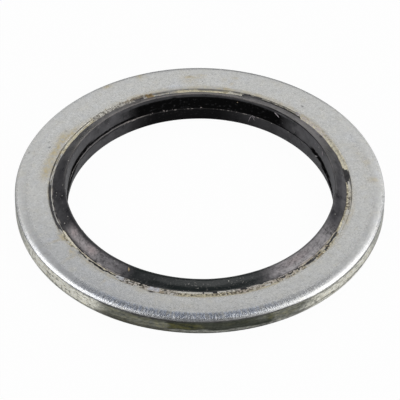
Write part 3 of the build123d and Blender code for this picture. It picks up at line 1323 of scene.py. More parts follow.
    # Heavy bloom, with painted sheen on the front left and front right of the flank.
    bloom_and_sheen_marks: Sequence[Mark] = (
        Band(28, 72, 9.52, 10.35, 0.34, 14, 0.1), Band(72, 140, 9.52, 10.35, 0.24, 14, 0.1),
        Band(205, 224, 9.62, 10.18, 0.7, 7, 0.22), Spot(208.6, 9.88, 0.32, 0.15, 0.85, 9.8),
        Spot(212.5, 9.95, 0.4, 0.1, 0.45, 9.8), Spot(216, 9.88, 0.35, 0.12, 0.45, 9.8),
        Spot(220.8, 9.86, 0.44, 0.15, 1.1, 9.8), Spot(222.6, 9.74, 0.2, 0.08, 0.4, 9.8),
        Band(222, 238, 9.58, 10.24, 0.52, 12, 0.2), Band(300, 336, 9.58, 10.28, 0.88, 13, 0.16),
        Spot(302, 9.98, 0.45, 0.12, 0.25, 9.9), Spot(308, 10.05, 0.45, 0.13, 0.4, 9.9),
        Spot(313, 9.9, 0.35, 0.16, 0.25, 9.9), Spot(320.5, 10, 0.6, 0.2, 0.45, 9.9),
        Spot(328, 9.85, 0.5, 0.16, 0.2, 9.9),
    )
    rosy_marks: Sequence[Mark] = (
        Band(204, 224, 9.55, 10.3, 0.25, 4, 0.1), Spot(208.6, 9.88, 0.3, 0.2, 0.45, 9.8),
        Spot(221.5, 9.84, 0.45, 0.2, 0.5, 9.8), Spot(312, 9.8, 1.2, 0.2, 0.4, 9.9),
    )
    speck_marks: Sequence[Mark] = (
        Band(178, 203, 9.6, 10.25, 0.45, 4, 0.1), Band(240, 300, 9.58, 10.2, 0.28, 6, 0.1),
        Band(263, 273, 9.7, 10.18, 0.6, 3, 0.1), Band(283, 289, 9.68, 9.95, 0.5, 2, 0.1),
    )
    green_arc: Arc = Arc(240, 297, 1, 10)

    def half_section(self, steps: Sequence[int]) -> Grid:
        """Stations from the bond at mid height up over the foot and flank to the lip, then down the wall.

        Args:
            steps: the number of stations in each of the eleven stretches.

        Returns:
            Radius and height of each station, from mid height to mid height.
        """
        middle, top, edge = self.height / 2, self.height, self.edge_round
        foot_top = self.ledge_height + self.foot_rise
        flank_start = np.array([self.foot_radius - 2 * edge, foot_top + edge])
        flank_end = np.array([self.lip_outer + self.lip_mouth, top - self.lip_drop])
        slope = flank_end - flank_start
        inward = np.array([slope[1], -slope[0]]) / np.hypot(*slope)
        dip = (flank_start + flank_end) / 2 - inward * 2 * self.flank_hollow
        ridge_top = middle + self.ridge_half
        return path((self.bond_radius, middle), (
            [(self.bond_radius, self.ledge_height)],
            [(self.foot_radius, self.ledge_height)],
            [(self.foot_radius, foot_top - edge)],
            [(self.foot_radius, foot_top), flank_start],
            [dip, flank_end],
            [(self.lip_outer, top), (self.lip_outer - self.lip_land, top)],
            [(self.lip_inner + edge, top)],
            [(self.lip_inner, top), (self.lip_inner, top - edge)],
            [(self.wall_waist, ridge_top + self.ridge_slope)],
            [(self.ridge_radius, ridge_top)],
            [(self.ridge_radius, middle)],
        ), steps)

    def section(self) -> Grid:
        """The upper half, then fewer stations mirrored in the middle plane and run backwards.

        Returns:
            Radius and height of each station.
        """
        upper = self.half_section(self.upper_steps)
        centre = np.array([[self.ridge_radius, self.height / 2]])
        lower = self.half_section(self.lower_steps)[1:][::-1] * [1.0, -1.0] + [0.0, self.height]
        return np.concatenate([upper, centre, lower])

    def flank_height(self, radius: float) -> float:
        """Height of the straight line from the foot to the lip at a radius."""
        foot_top, run_out = self.ledge_height + self.foot_rise, self.foot_radius - self.lip_outer
        return foot_top + (self.foot_radius - radius) / run_out * (self.height - foot_top)

    def wall_radius(self, height: float) -> float:
        """The leaning wall, the same above and below the middle, and on the ridge its half-worn land.

        Args:
            height: millimetres.

        Returns:
            The radius there.
        """
        middle = self.height / 2
        if abs(height - middle) <= self.ridge_half:
            return self.ridge_radius + self.ridge_wear / 2
        share = max(abs(height - middle) - self.ridge_half, 0.0) / (middle - self.ridge_half)
        return self.wall_waist + share * (self.lip_inner - self.wall_waist)

    def foot_shift(self, azimuth: Grid) -> Grid:
        """How far the foot reaches out over the ledge past its mean radius."""
        return arcs_cover(self.foot_reach, azimuth)

    def surface(self) -> Surface:
        """Turns the section round the axis.  The foot wanders over the ledge, the flank has shallow lumps,
        the ridge is broken, and the lower lip bulges a little into the bore at one place.

        Returns:
            The bead's surface.
        """
        stations = self.section()
        azimuth, radius, height, along = spread(stations, self.turns)
        middle = self.height / 2
        to_the_right = self.off_centre * np.cos(np.radians(azimuth)) - self.left_swell.cover(azimuth)
        radius = radius + to_the_right * self.off_bond.of(radius)
        shift = self.foot_shift(azimuth) + self.foot_wander * self.foot_noise.round_turn(azimuth)
        above = self.above_ledge.of(height)
        radius = radius + shift * ease(radius, self.lip_outer, self.foot_radius) * above
        lumps = self.lump_mm * self.lump_noise.at(azimuth, along) * self.lump_inside.of(radius)
        radius = radius + lumps
        height = height + lumps * self.lump_above.of(height) * self.lump_below.of(height)
        broken = self.ridge_break.of(self.ridge_noise.round_turn(azimuth))
        near_ridge = np.exp(-((height - middle) / self.ridge_spread) ** 2) * self.ridge_inside.of(radius)
        radius = radius + near_ridge * self.ridge_wear * broken
        low_wall = ease(height, middle, self.bulge_below) * self.bulge_above.of(height)
        radius = radius - self.bulge.cover(azimuth) * (low_wall * self.bulge_inside.of(radius))
        for nick in self.nicks:
            radius = radius - nick.cover(azimuth, radius) * self.nick_above.of(height)
        crest_gap = np.abs(stations[:, 0] - self.foot_radius + self.crest_inset)
        masks = self.paint(azimuth, radius, height, crest_gap)
        masks = {name: np.clip(mask, 0.0, 1.0) for name, mask in masks.items()}
        return Surface(azimuth, radius, height, {"along": along, **masks})

    def paint(self, azimuth: Grid, radius: Grid, height: Grid, crest_gap: Grid) -> dict[str, Grid]:
        """The masks that the finish reads: dust is the dry bloom with painted light on the inner wall, heavy
        the heavy bloom with painted sheen, pale the painted highlights on the crest, lips and ridge, and jet
        the painted shade where the rubber looks black.

        Args:
            azimuth: degrees.
            radius: millimetres.
            height: millimetres.
            crest_gap: millimetres between a station and the crest of the foot.

        Returns:
            The masks by name.
        """
        middle = self.height / 2
        flank = self.flank_above.of(height) * self.flank_outside.of(radius)
        wall = self.wall_inside.of(radius)
        crest = arcs_cover(self.crest_highlight_arcs, azimuth) * self.crest_width.of(crest_gap)
        crest = crest * self.crest_break.of(self.crest_noise.round_turn(azimuth))
        dots = self.dot_rise.of(self.dot_noise.round_turn(azimuth))
        flecks = dots * self.gap_rise.of(self.gap_noise.round_turn(azimuth)) + self.least_fleck
        wander = height + self.shade_wander * self.shade_noise.round_turn(azimuth)
        pale = flank * crest + self.lip_above.of(height) * cover_of(self.lip_highlight_lines, azimuth, radius)
        pale = pale + wall * flecks * cover_of(self.ridge_highlight_flecks, azimuth, height)
        pale = pale + wall * self.ridge_highlight_line.cover(azimuth, height)
        jet = wall * cover_of(self.wall_shade_bands, azimuth, wander) * (1.0 - np.clip(2.0 * pale, 0.0, 1.0))
        jet = jet + self.shade_above.of(height) * cover_of(self.lip_shade_bands, azimuth, radius)
        lower = self.low_wall_light + (1.0 - self.low_wall_light) * ease(height, middle, middle + self.wall_light_rise_mm)
        dust_and_light = wall * arcs_cover(self.wall_painted_light, azimuth) * lower
        return {
            "dust_and_light": dust_and_light + flank * cover_of(self.bloom_marks, azimuth, radius),
            "bloom_and_sheen": flank * cover_of(self.bloom_and_sheen_marks, azimuth, radius),
            "rosy": cover_of(self.rosy_marks, azimuth, radius),
            "specks": flank * cover_of(self.speck_marks, azimuth, radius),
            "green": self.green_arc.cover(azimuth) + 0.0 * radius,
            "pale": pale,
            "jet": jet,
        }

    def build(self, material: bpy.types.Material) -> bpy.types.Object:
        """Builds, dresses and seats the bead.

        Args:
            material: its rubber.

        Returns:
            The piece.
        """
        piece = self.surface().build("rubber_bead")
        piece.data.materials.append(material)
        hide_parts("rubber_seal")
        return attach(piece, BODY)


# ---- ledge films

class FilmKind(Enum):
    """What a film on the ledge is made of, as its piece's name."""

    RESIDUE = "bond_residue"
    FLASH_AND_GAP_SHADE = "rubber_flash_and_gap_shade"


@dataclass
class LedgeFilm:
    """A thin ragged film on the ring's ledge.

    It is a closed strip under the whole ledge floor.  Where its cover is above zero it stands on the steel by
    its thickness, and elsewhere it dips out of sight below it, so that its edge is as ragged as the cover.
    Over the arcs of banks it fills the ledge's corner with a slope up to the face.
    """

    ring: SteelRing
    kind: FilmKind
    bands: Sequence[Mark]
    tints: dict[str, Sequence[Mark]]
    inner: float = 10.12
    outer: float = 10.95
    thickness: float = 0.028
    dip: float = 0.02
    base_depth: float = 0.06
    banks: Sequence[Arc] = ()
    bank_width: float = 0.30
    ragged_mm: float = 0.035
    ragged_turn: float = 0.45
    calm: Arc = Arc(156, 206, 0.85, 8)
    edge: Rise = Rise(-0.15, 0.35)
    patchiness: float = 0.7
    thinnest: float = 0.6
    sideways: Sequence[float] = (150, 3.0, 3)
    outwards: Sequence[float] = (190, 2.0, 3)
    patches: Sequence[float] = (230, 4.0, 2)
    seed: int = 71
    turns: int = 1800
    rows: int = 27

    def warped(self, azimuth: Grid, radius: Grid) -> tuple[Grid, Grid]:
        """Azimuths and radii moved by smooth noise, so that straight limits read at them come out ragged.

        Args:
            azimuth: degrees.
            radius: millimetres.

        Returns:
            The moved azimuths and radii.
        """
        rough = 1.0 - self.calm.cover(azimuth)
        sideways = rough * RingNoise(self.seed, *self.sideways).at(azimuth, radius)
        outwards = rough * RingNoise(self.seed + 1, *self.outwards).at(azimuth, radius)
        return azimuth + self.ragged_turn * sideways, radius + self.ragged_mm * outwards

    def cover(self, azimuth: Grid, radius: Grid) -> Grid:
        """Share of cover, below zero where the steel is bare: twice the bands' cover less one, broken by
        noise inside the bands.

        Args:
            azimuth: degrees.
            radius: millimetres.

        Returns:
            The share, about -1 to 1.
        """
        band = cover_of(self.bands, *self.warped(azimuth, radius))
        noise = RingNoise(self.seed + 2, *self.patches).at(azimuth, radius) * (1.0 - self.calm.cover(azimuth))
        return 2.0 * band - 1.0 + self.patchiness * noise * np.clip(2.0 * band, 0.0, 1.0)

    def floor(self, azimuth: Grid, radius: Grid) -> Grid:
        """Height of what the film stands on: the steel, raised over the banks to a slope that is eased from
        the ledge up to the face over the bank's width.

        Args:
            azimuth: degrees.
            radius: millimetres.

        Returns:
            Heights in millimetres.
        """
        ring = self.ring
        steel = ring.top_height(radius, azimuth)
        slope = ease(radius - ring.riser_drift(azimuth), ring.riser_top - self.bank_width, ring.riser_top)
        filled = ring.face_height - ring.ledge_depth * (1.0 - slope)
        return steel + arcs_cover(self.banks, azimuth) * np.maximum(filled - steel, 0.0)

    def surface(self) -> Surface:
        """The strip's upper rows, which follow the floor below them, and its base below the ledge.

        Returns:
            The film's surface.
        """
        azimuth = grid_azimuths(self.turns)
        radius = np.linspace(self.inner, self.outer, self.rows) + 0.0 * azimuth
        cover = self.cover(azimuth, radius)
        uneven = self.thinnest + (1.0 - self.thinnest) * np.clip(cover, 0.0, 1.0)
        steel = self.ring.top_height(radius, azimuth)
        lift = self.floor(azimuth, radius) - steel + self.dip + self.thickness * uneven
        top = steel - self.dip + self.edge.of(cover) * lift
        base_radius = np.array([self.outer, self.inner]) + 0.0 * azimuth
        base = 0.0 * base_radius + self.ring.face_height - self.ring.ledge_depth - self.base_depth
        moved = self.warped(azimuth, radius)
        paint = {name: cover_of(marks, *moved) for name, marks in self.tints.items()}
        return Surface(
            azimuth,
            np.concatenate([radius, base_radius], axis=1),
            np.concatenate([top, base], axis=1),
            {name: np.concatenate([mask, 0.0 * base], axis=1) for name, mask in paint.items()},
        )

    def build(self, material: bpy.types.Material, slot: str) -> bpy.types.Object:
        """Builds, dresses and seats the film.

        Args:
            material: its finish.
            slot: not used.

        Returns:
            The piece.
        """
        piece = self.surface().build(self.kind.value)
        piece.data.materials.append(material)
        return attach(piece, BODY)


RESIDUE_BANDS = (
    Band(336, 341.5, 10.2, 10.46, 1, 2), Band(340, 354, 10.2, 10.43, 0.9, 2),
    Band(343, 347, 10.36, 10.62, 0.62, 1.5), Band(349.5, 362, 10.28, 10.62, 0.85, 2.5),
    Band(1.5, 5, 10.28, 10.47, 0.75, 1.5), Band(12, 47, 10.2, 10.67, 1, 3),
    Band(31, 46, 10.56, 10.72, 0.5, 2), Spot(48.6, 10.66, 0.16, 0.08, 1.2, 10.6),
    Band(47, 66, 10.56, 10.64, 0.34, 4), Band(73, 79, 10.2, 10.55, 0.9, 2),
    Band(78, 101, 10.18, 10.53, 1, 3), Band(100, 110, 10.2, 10.52, 0.55, 3),
    Spot(110.6, 10.44, 0.22, 0.15, 1.3, 10.5), Band(111.6, 118, 10.5, 10.66, 0.85, 1.5),
    Band(116.5, 138, 10.28, 10.64, 0.8, 3), Band(120, 136, 10.28, 10.56, 0.3, 3),
    Band(137, 161.5, 10.22, 10.51, 1, 4), Band(158, 179, 10.34, 10.43, 0.85, 3),
    Band(172.5, 176, 10.5, 10.57, 0.8, 1.5), Band(204, 216, 10.24, 10.44, 1, 1.5),
    Band(215, 237, 10.22, 10.35, 0.95, 2), Band(205, 221, 10.42, 10.64, 0.56, 2),
    Band(236.5, 240.8, 10.14, 10.58, 1, 1.2), Band(240, 262, 10.1, 10.64, 0.62, 2),
    Band(240, 263, 10.14, 10.3, 0.8, 2), Band(249.8, 254.9, 10.14, 10.6, 1, 1.2),
    Band(254.6, 258, 10.42, 10.66, 0.8, 1.2), Band(262, 301, 10.1, 10.37, 0.95, 3),
    Band(261, 284, 10.36, 10.77, 0.8, 3), Band(283, 301, 10.36, 10.74, 0.68, 3),
    Band(300, 313.5, 10.12, 10.64, 0.66, 2), Band(312, 337, 10.36, 10.62, 0.56, 2),
    Band(312, 337, 10.2, 10.34, 0.95, 2), Band(320.5, 328.5, 10.46, 10.64, 0.75, 1.5),
)

RESIDUE_BANKS = (
    Arc(12, 46.5, 1, 4), Arc(119, 135, 0.9, 4),
)

RESIDUE_TINTS = {
    "brown": (
        Band(14, 46, 10.54, 10.7, 0.45), Band(78, 101, 10.49, 10.58, 0.55),
        Band(100, 109, 10.2, 10.56, 0.4), Band(110, 111.3, 10.46, 10.58, 0.6),
        Band(112, 138, 10.28, 10.62, 0.74), Band(205, 221, 10.42, 10.66, 0.72),
        Band(240, 249.8, 10.1, 10.6, 0.92), Band(254.6, 262, 10.1, 10.68, 0.7),
        Band(262, 301, 10.36, 10.64, 0.62), Band(262, 300, 10.39, 10.52, 0.4),
        Band(269, 273.5, 10.39, 10.54, 0.6), Band(276.8, 290, 10.26, 10.62, 0.35),
        Band(280, 313, 10.1, 10.4, 0.55), Band(300, 337, 10.36, 10.66, 0.85),
        Band(300, 337, 10.1, 10.36, 0.4), Band(324.6, 327.8, 10.46, 10.68, 0.8),
        Band(340, 366, 10.44, 10.64, 0.42), Band(344, 362, 10.28, 10.46, 0.72),
        Band(349, 358.5, 10.34, 10.6, 0.7),
    ),
    "grey": (
        Band(236.5, 240.8, 10.1, 10.56, 0.9), Band(250.4, 254.6, 10.1, 10.56, 0.8),
        Band(240, 262, 10.1, 10.75, 0.4), Band(262, 313, 10.1, 10.36, 0.55),
        Band(47, 50.5, 10.56, 10.76, 1), Band(160, 179, 10.3, 10.6, 0.8), Band(72.5, 79, 10.2, 10.6, 0.4),
        Band(112, 137, 10.2, 10.7, 0.5), Band(100, 109, 10.2, 10.56, 0.4),
        Band(340, 366, 10.46, 10.64, 0.35),
    ),
    "rust": (
        Band(109.2, 112.3, 10.2, 10.72, 1, 1), Band(112.5, 122, 10.48, 10.7, 0.45, 1.5),
        Band(320.5, 323.5, 10.5, 10.66, 0.8, 1), Band(326, 328.4, 10.46, 10.6, 0.5, 1),
        Band(254.8, 257, 10.44, 10.68, 0.6, 1),
    ),
    "bright": (
        Band(204, 216.5, 10.16, 10.42, 0.7), Band(30, 46, 10.3, 10.66, 0.8), Band(12, 30, 10.4, 10.66, 0.4),
        Band(262, 300, 10.1, 10.34, 0.5),
    ),
    "pink": (
        Band(30, 66, 10.2, 10.7, 0.8, 4), Band(216, 237, 10.2, 10.4, 0.9), Band(240, 262, 10.1, 10.62, 0.6),
        Band(284, 313, 10.1, 10.62, 0.8), Band(312, 337, 10.2, 10.38, 0.9),
    ),
}

# Black rubber flash, and beside the bead's foot dark bands that are painted shade in the gap between bead and
# ledge.
FLASH_AND_GAP_SHADE_BANDS = (
    Band(5.4, 11.8, 10.38, 10.62, 1, 2), Band(5, 12, 10.2, 10.42, 0.9, 2),
    Band(9, 13.5, 10.2, 10.44, 0.9, 3), Band(3.2, 5.4, 10.38, 10.46, 0.8, 1),
    Band(45, 73, 10.15, 10.53, 1, 3), Band(54, 60, 10.4, 10.53, 0.7, 2), Band(62, 66, 10.4, 10.55, 0.75, 2),
    Band(65.2, 68.4, 10.4, 10.6, 0.86, 1.6), Band(69.2, 72.4, 10.4, 10.59, 0.84, 2.4),
    Band(71, 76, 10.15, 10.36, 0.8, 4), Band(112.8, 117, 10.2, 10.53, 1, 1.5),
    Band(117, 134, 10.2, 10.38, 0.6, 4), Band(158, 179, 10.44, 10.48, 0.68, 6),
    Band(160, 181, 10.55, 10.6, 0.54, 8), Band(178, 203, 10.44, 10.575, 1, 4),
    Band(200, 205.5, 10.4, 10.48, 0.8, 3), Spot(184.5, 10.53, 0.12, 0.06, 0.9),
    Spot(199.5, 10.6, 0.2, 0.06, 0.9), Band(216.5, 235, 10.345, 10.435, 0.8, 3),
    Spot(224, 10.44, 0.09, 0.05, 0.8), Spot(227, 10.44, 0.09, 0.05, 0.8),
    Spot(230.3, 10.45, 0.2, 0.05, 0.9), Band(232, 237, 10.34, 10.4, 0.6, 2),
    Spot(236.9, 10.5, 0.08, 0.06, 1), Spot(239.8, 10.6, 0.16, 0.07, 1), Spot(237.6, 10.42, 0.1, 0.1, 0.9),
    Spot(241.4, 10.38, 0.1, 0.08, 0.9), Spot(244.4, 10.34, 0.2, 0.08, 0.8),
    Spot(247.4, 10.36, 0.16, 0.08, 0.8), Spot(251.9, 10.63, 0.24, 0.06, 0.95),
    Band(256.2, 257.8, 10.22, 10.4, 0.64, 1), Band(271.3, 272.3, 10.12, 10.35, 0.9, 0.6),
    Band(275, 277.2, 10.12, 10.36, 1, 0.8), Spot(284.3, 10.35, 0.1, 0.15, 0.8),
    Band(286, 289, 10.15, 10.4, 0.85, 1), Band(302.6, 305, 10.32, 10.46, 0.9, 1),
    Band(306, 308.4, 10.32, 10.44, 0.85, 1), Band(310.2, 311.4, 10.34, 10.46, 0.85, 0.8),
    Band(313.5, 316, 10.36, 10.49, 0.85, 1.2), Band(315.6, 318.8, 10.34, 10.55, 0.95, 1.2),
    Band(318.6, 321.6, 10.37, 10.5, 0.85, 1.2), Band(321.8, 323.8, 10.32, 10.44, 0.95, 0.8),
    Band(324.8, 327.8, 10.44, 10.6, 0.8, 1), Band(328, 336.5, 10.335, 10.5, 0.95, 3),
    Spot(347, 10.4, 0.1, 0.04, 0.8), Spot(350.8, 10.5, 0.14, 0.05, 0.9),
    Spot(353.6, 10.42, 0.12, 0.05, 0.9), Spot(356.3, 10.56, 0.12, 0.04, 0.8),
    Spot(359, 10.48, 0.1, 0.04, 0.8),
)

FLASH_TINTS = {
    **dict.fromkeys(("along", "rosy", "green", "pale"), ()),
    "dust_and_light": (
        Band(44, 62, 10.1, 10.8, 0.6), Band(62, 80, 10.1, 10.8, 0.7), Band(-2, 14, 10.1, 10.8, 0.4),
        Band(112, 118, 10.1, 10.8, 0.8), Band(176, 206, 10.1, 10.8, 0.5),
    ),
    "bloom_and_sheen": (
        Band(45, 62, 10.1, 10.8, 0.2), Band(62, 76, 10.1, 10.8, 0.1),
    ),
    "specks": (
        Band(80, 362, 10, 10.9, 0.45),
    ),
    "jet": (
        Band(45, 64, 10.38, 10.9, 0.75, 3, 0.06), Band(63, 80, 10.4, 10.9, 0.35, 3, 0.06),
        Band(118, 176, 10, 10.9, 0.35), Band(204, 240, 10, 10.9, 0.35), Band(2, 13, 10, 10.9, 0.3),
    ),
}


# ---- dust and lint

class Seat(Enum):
    """What a crumb lies on, as the tilt of that surface's normal outwards from straight up, in degrees."""

    FACE = 0.0
    FLANK = 32.0
    WALL = -90.0


@dataclass(frozen=True)
class Crumb:
    """A crumb of dust: its seat, its azimuth, its radius (its height on the wall), its length and width."""

    seat: Seat
    azimuth: float
    across: float
    length: float = 0.085
    width: float = 0.07
    turn: float = 20.0

    def place(self, ring: SteelRing, bead: RubberBead) -> tuple[float, float]:
        """Radius and height of its foot.

        Args:
            ring: the ring, for crumbs on the face.
            bead: the bead, for crumbs on the flank and wall.

        Returns:
            Radius and height in millimetres.
        """
        if self.seat is Seat.WALL:
            return bead.wall_radius(self.across), self.across
        if self.seat is Seat.FLANK:
            return self.across, bead.flank_height(self.across)
        floor = ring.top_height(np.array([[self.across]]), np.array([[self.azimuth]]))
        return self.across, float(floor[0, 0])


@dataclass
class DustCrumbs:
    """Crumbs of one kind, made as one piece."""

    name: str
    crumbs: Sequence[Crumb]
    seed: int
    sides: int = 7
    bury: float = 0.012
    rise: float = 0.45
    below_lip: float = 0.002
    girth_level: float = 0.25
    unevenness: tuple[float, float] = (0.7, 1.3)

    def points(self, ring: SteelRing, bead: RubberBead) -> Grid:
        """All crumbs at once.  Each is a pole under the surface, a ring of uneven radii just above it, and a
        pole on top: centre + normal n + round x + upslope y, with x and y on an oval turned in its plane.

        Args:
            ring: the ring that they lie on.
            bead: the bead that they lie on.

        Returns:
            Crumbs by points by 3, in millimetres.
        """
        dice = np.random.default_rng(self.seed)
        places = np.array([crumb.place(ring, bead) for crumb in self.crumbs])
        angle = np.radians([crumb.azimuth for crumb in self.crumbs])
        tilt = np.radians([crumb.seat.value for crumb in self.crumbs])
        sizes = [(crumb.length, crumb.width, math.radians(crumb.turn)) for crumb in self.crumbs]
        length, width, turn = np.array(sizes).T[..., None]
        outward = np.stack([np.cos(angle), np.sin(angle), 0 * angle], axis=-1)
        upward = np.array([0.0, 0.0, 1.0])
        round_way = np.stack([-np.sin(angle), np.cos(angle), 0 * angle], axis=-1)
        normal = outward * np.sin(tilt)[:, None] + upward * np.cos(tilt)[:, None]
        upslope = np.cross(normal, round_way)
        centre = outward * places[:, :1] + upward * places[:, 1:]
        uneven = dice.uniform(*self.unevenness, (len(self.crumbs), self.sides)) / 2
        theta = np.arange(self.sides) * 2 * math.pi / self.sides
        x, y = uneven * length * np.cos(theta), uneven * width * np.sin(theta)
        x, y = x * np.cos(turn) - y * np.sin(turn), x * np.sin(turn) + y * np.cos(turn)
        level = normal * width * self.rise
        girth = (centre + level * self.girth_level)[:, None] + x[..., None] * round_way[:, None]
        girth = girth + y[..., None] * upslope[:, None]
        under, over = centre - normal * self.bury, centre + level
        points = np.concatenate([under[:, None], girth, over[:, None]], axis=1)
        points[..., 2] = np.minimum(points[..., 2], bead.height - self.below_lip)
        return points

    def build(self, ring: SteelRing, bead: RubberBead, finish: DustFinish, slot: str) -> bpy.types.Object:
        """Builds, dresses and seats the crumbs.

        Args:
            ring: the ring that they lie on.
            bead: the bead that they lie on.
            finish: their dust.
            slot: not used.

        Returns:
            The piece.
        """
        points = self.points(ring, bead)
        faces = repeated_faces(spindle_faces(1, self.sides), len(points), points.shape[1])
        piece = mesh_object(self.name, points.reshape(-1, 3) * MM, faces)
        piece.data.materials.append(finish.material())
        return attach(piece, BODY)


@dataclass(frozen=True)
class Fibre:
    """A hair of lint through three places on the bead, each an azimuth, a radius and a height."""

    first: Point
    middle: Point
    last: Point
    thickness: float = 0.050


@dataclass
class LintFibres:
    """Hairs of lint, made as one piece."""

    name: str
    fibres: Sequence[Fibre]
    stations: int = 14
    sides: int = 6
    askew: Point = (0.3, 0.2, 0.93)
    taper_power: float = 4

    def points(self) -> Grid:
        """All hairs at once.  The middle line is the quadratic through the three places, reached at t = 0,
        1/2 and 1, and each station is a ring as thick as the hair and square to it, thinning to two poles.

        Returns:
            Hairs by points by 3, in millimetres.
        """
        places = np.array([[hair.first, hair.middle, hair.last] for hair in self.fibres])
        knots = turned(places[..., 0], places[..., 1], places[..., 2])
        first, middle, last = knots[:, None, 0], knots[:, None, 1], knots[:, None, 2]
        corner = 2 * middle - (first + last) / 2
        t = np.linspace(0.0, 1.0, self.stations)[:, None]
        line = (1 - t) ** 2 * first + 2 * t * (1 - t) * corner + t ** 2 * last
        ahead = 2 * (1 - t) * (corner - first) + 2 * t * (last - corner)
        ahead = ahead / np.linalg.norm(ahead, axis=-1, keepdims=True)
        side = np.cross(ahead, np.array(self.askew))
        side = side / np.linalg.norm(side, axis=-1, keepdims=True)
        over = np.cross(ahead, side)
        theta = np.arange(self.sides) * 2 * math.pi / self.sides
        thin = np.sqrt(1.0 - (2 * t[1:-1] - 1.0) ** self.taper_power)[None] / 2
        girth = thin * np.array([hair.thickness for hair in self.fibres])[:, None, None]
        spokes = side[:, 1:-1, None] * np.cos(theta)[:, None] + over[:, 1:-1, None] * np.sin(theta)[:, None]
        rings = line[:, 1:-1, None] + girth[..., None] * spokes
        body = rings.reshape(len(self.fibres), -1, 3)
        return np.concatenate([line[:, :1], body, line[:, -1:]], axis=1)

    def build(self, finish: DustFinish, slot: str) -> bpy.types.Object:
        """Builds, dresses and seats the hairs.

        Args:
            finish: their lint.
            slot: not used.

        Returns:
            The piece.
        """
        points = self.points()
        faces = repeated_faces(spindle_faces(self.stations - 2, self.sides), len(points), points.shape[1])
        piece = mesh_object(self.name, points.reshape(-1, 3) * MM, faces)
        piece.data.materials.append(finish.material())
        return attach(piece, BODY)


WHITE_CRUMBS = (
    Crumb(Seat.FLANK, 181.2, 9.62, 0.11, 0.09), Crumb(Seat.FLANK, 184, 10.07, 0.07, 0.07),
    Crumb(Seat.FLANK, 185.7, 10.09, 0.07, 0.07), Crumb(Seat.FLANK, 187.4, 9.7, 0.08, 0.07),
    Crumb(Seat.FLANK, 199.8, 9.73, 0.1, 0.08), Crumb(Seat.FLANK, 201.9, 10.1, 0.12, 0.1),
    Crumb(Seat.FLANK, 223.4, 9.66, 0.11, 0.08), Crumb(Seat.FLANK, 233, 9.66, 0.08, 0.07),
    Crumb(Seat.FLANK, 268.3, 9.73, 0.07, 0.06), Crumb(Seat.FLANK, 269.6, 10.06, 0.09, 0.07),
    Crumb(Seat.FLANK, 282, 9.73, 0.07, 0.1), Crumb(Seat.FLANK, 286.8, 9.69, 0.06, 0.05),
    Crumb(Seat.FLANK, 287.7, 9.91, 0.07, 0.06), Crumb(Seat.FLANK, 343.5, 9.84, 0.12, 0.09),
    Crumb(Seat.FLANK, 15.3, 9.58, 0.08, 0.06), Crumb(Seat.FLANK, 166, 9.59, 0.12, 0.1),
    Crumb(Seat.FLANK, 53.7, 9.56, 0.09, 0.06), Crumb(Seat.WALL, 165.3, 1.2, 0.14, 0.1),
    Crumb(Seat.WALL, 157.6, 1.16, 0.12, 0.09), Crumb(Seat.WALL, 140.8, 2.26, 0.09, 0.07),
    Crumb(Seat.WALL, 47.5, 1.09, 0.1, 0.08), Crumb(Seat.WALL, 56.8, 1.06, 0.1, 0.08),
    Crumb(Seat.WALL, 26.3, 2.13, 0.09, 0.08), Crumb(Seat.WALL, 27.8, 1.06, 0.14, 0.1),
    # The long thin face crumb at 132.7 degrees is a painted highlight on the riser's upper edge.
    Crumb(Seat.FACE, 48.9, 10.64, 0.12, 0.09), Crumb(Seat.FACE, 132.7, 10.68, 0.34, 0.06, 0),
)

# Pale crumbs along the ridge that stand for its broken highlight: painted highlight.
RIDGE_HIGHLIGHT_CRUMBS = (
    Crumb(Seat.WALL, 123.4, 1.21, 0.2, 0.07, 0), Crumb(Seat.WALL, 114.4, 1.21, 0.16, 0.06, 0),
    Crumb(Seat.WALL, 111.7, 1.2, 0.14, 0.07, 0), Crumb(Seat.WALL, 106.4, 1.21, 0.22, 0.07, 0),
    Crumb(Seat.WALL, 102.5, 1.2, 0.12, 0.06, 0), Crumb(Seat.WALL, 89.7, 1.2, 0.2, 0.08, 0),
)

CREAM_CRUMBS = (
    Crumb(Seat.FACE, 137.2, 10.74, 0.09, 0.06), Crumb(Seat.FACE, 129.8, 10.7, 0.12, 0.07),
    Crumb(Seat.FACE, 126.4, 10.64, 0.1, 0.07), Crumb(Seat.FACE, 123.1, 10.69, 0.12, 0.06),
    Crumb(Seat.FACE, 119.7, 10.64, 0.13, 0.08), Crumb(Seat.FACE, 117, 10.68, 0.08, 0.06),
    Crumb(Seat.FACE, 114.6, 10.65, 0.14, 0.07), Crumb(Seat.FLANK, 240.5, 9.73, 0.13, 0.3, 25),
    Crumb(Seat.WALL, 73.5, 2.01, 0.09, 0.09),
)

LINT = (
    Fibre((26.3, 9.42, 1.24), (27.6, 9.385, 1.10), (29.2, 9.395, 0.96), 0.050),
    Fibre((23.2, 9.43, 2.22), (22.6, 9.42, 2.05), (22.3, 9.40, 1.86)),
    Fibre((68.2, 9.39, 0.40), (66.6, 9.33, 1.10), (64.9, 9.36, 0.95), 0.034),
    Fibre((66.4, 9.35, 1.02), (65.7, 9.35, 0.92), (65.4, 9.38, 0.70), 0.034),
    Fibre((55.6, 9.43, 2.20), (54.2, 9.42, 2.06), (53.0, 9.41, 1.93), 0.065),
)


# ---- studio

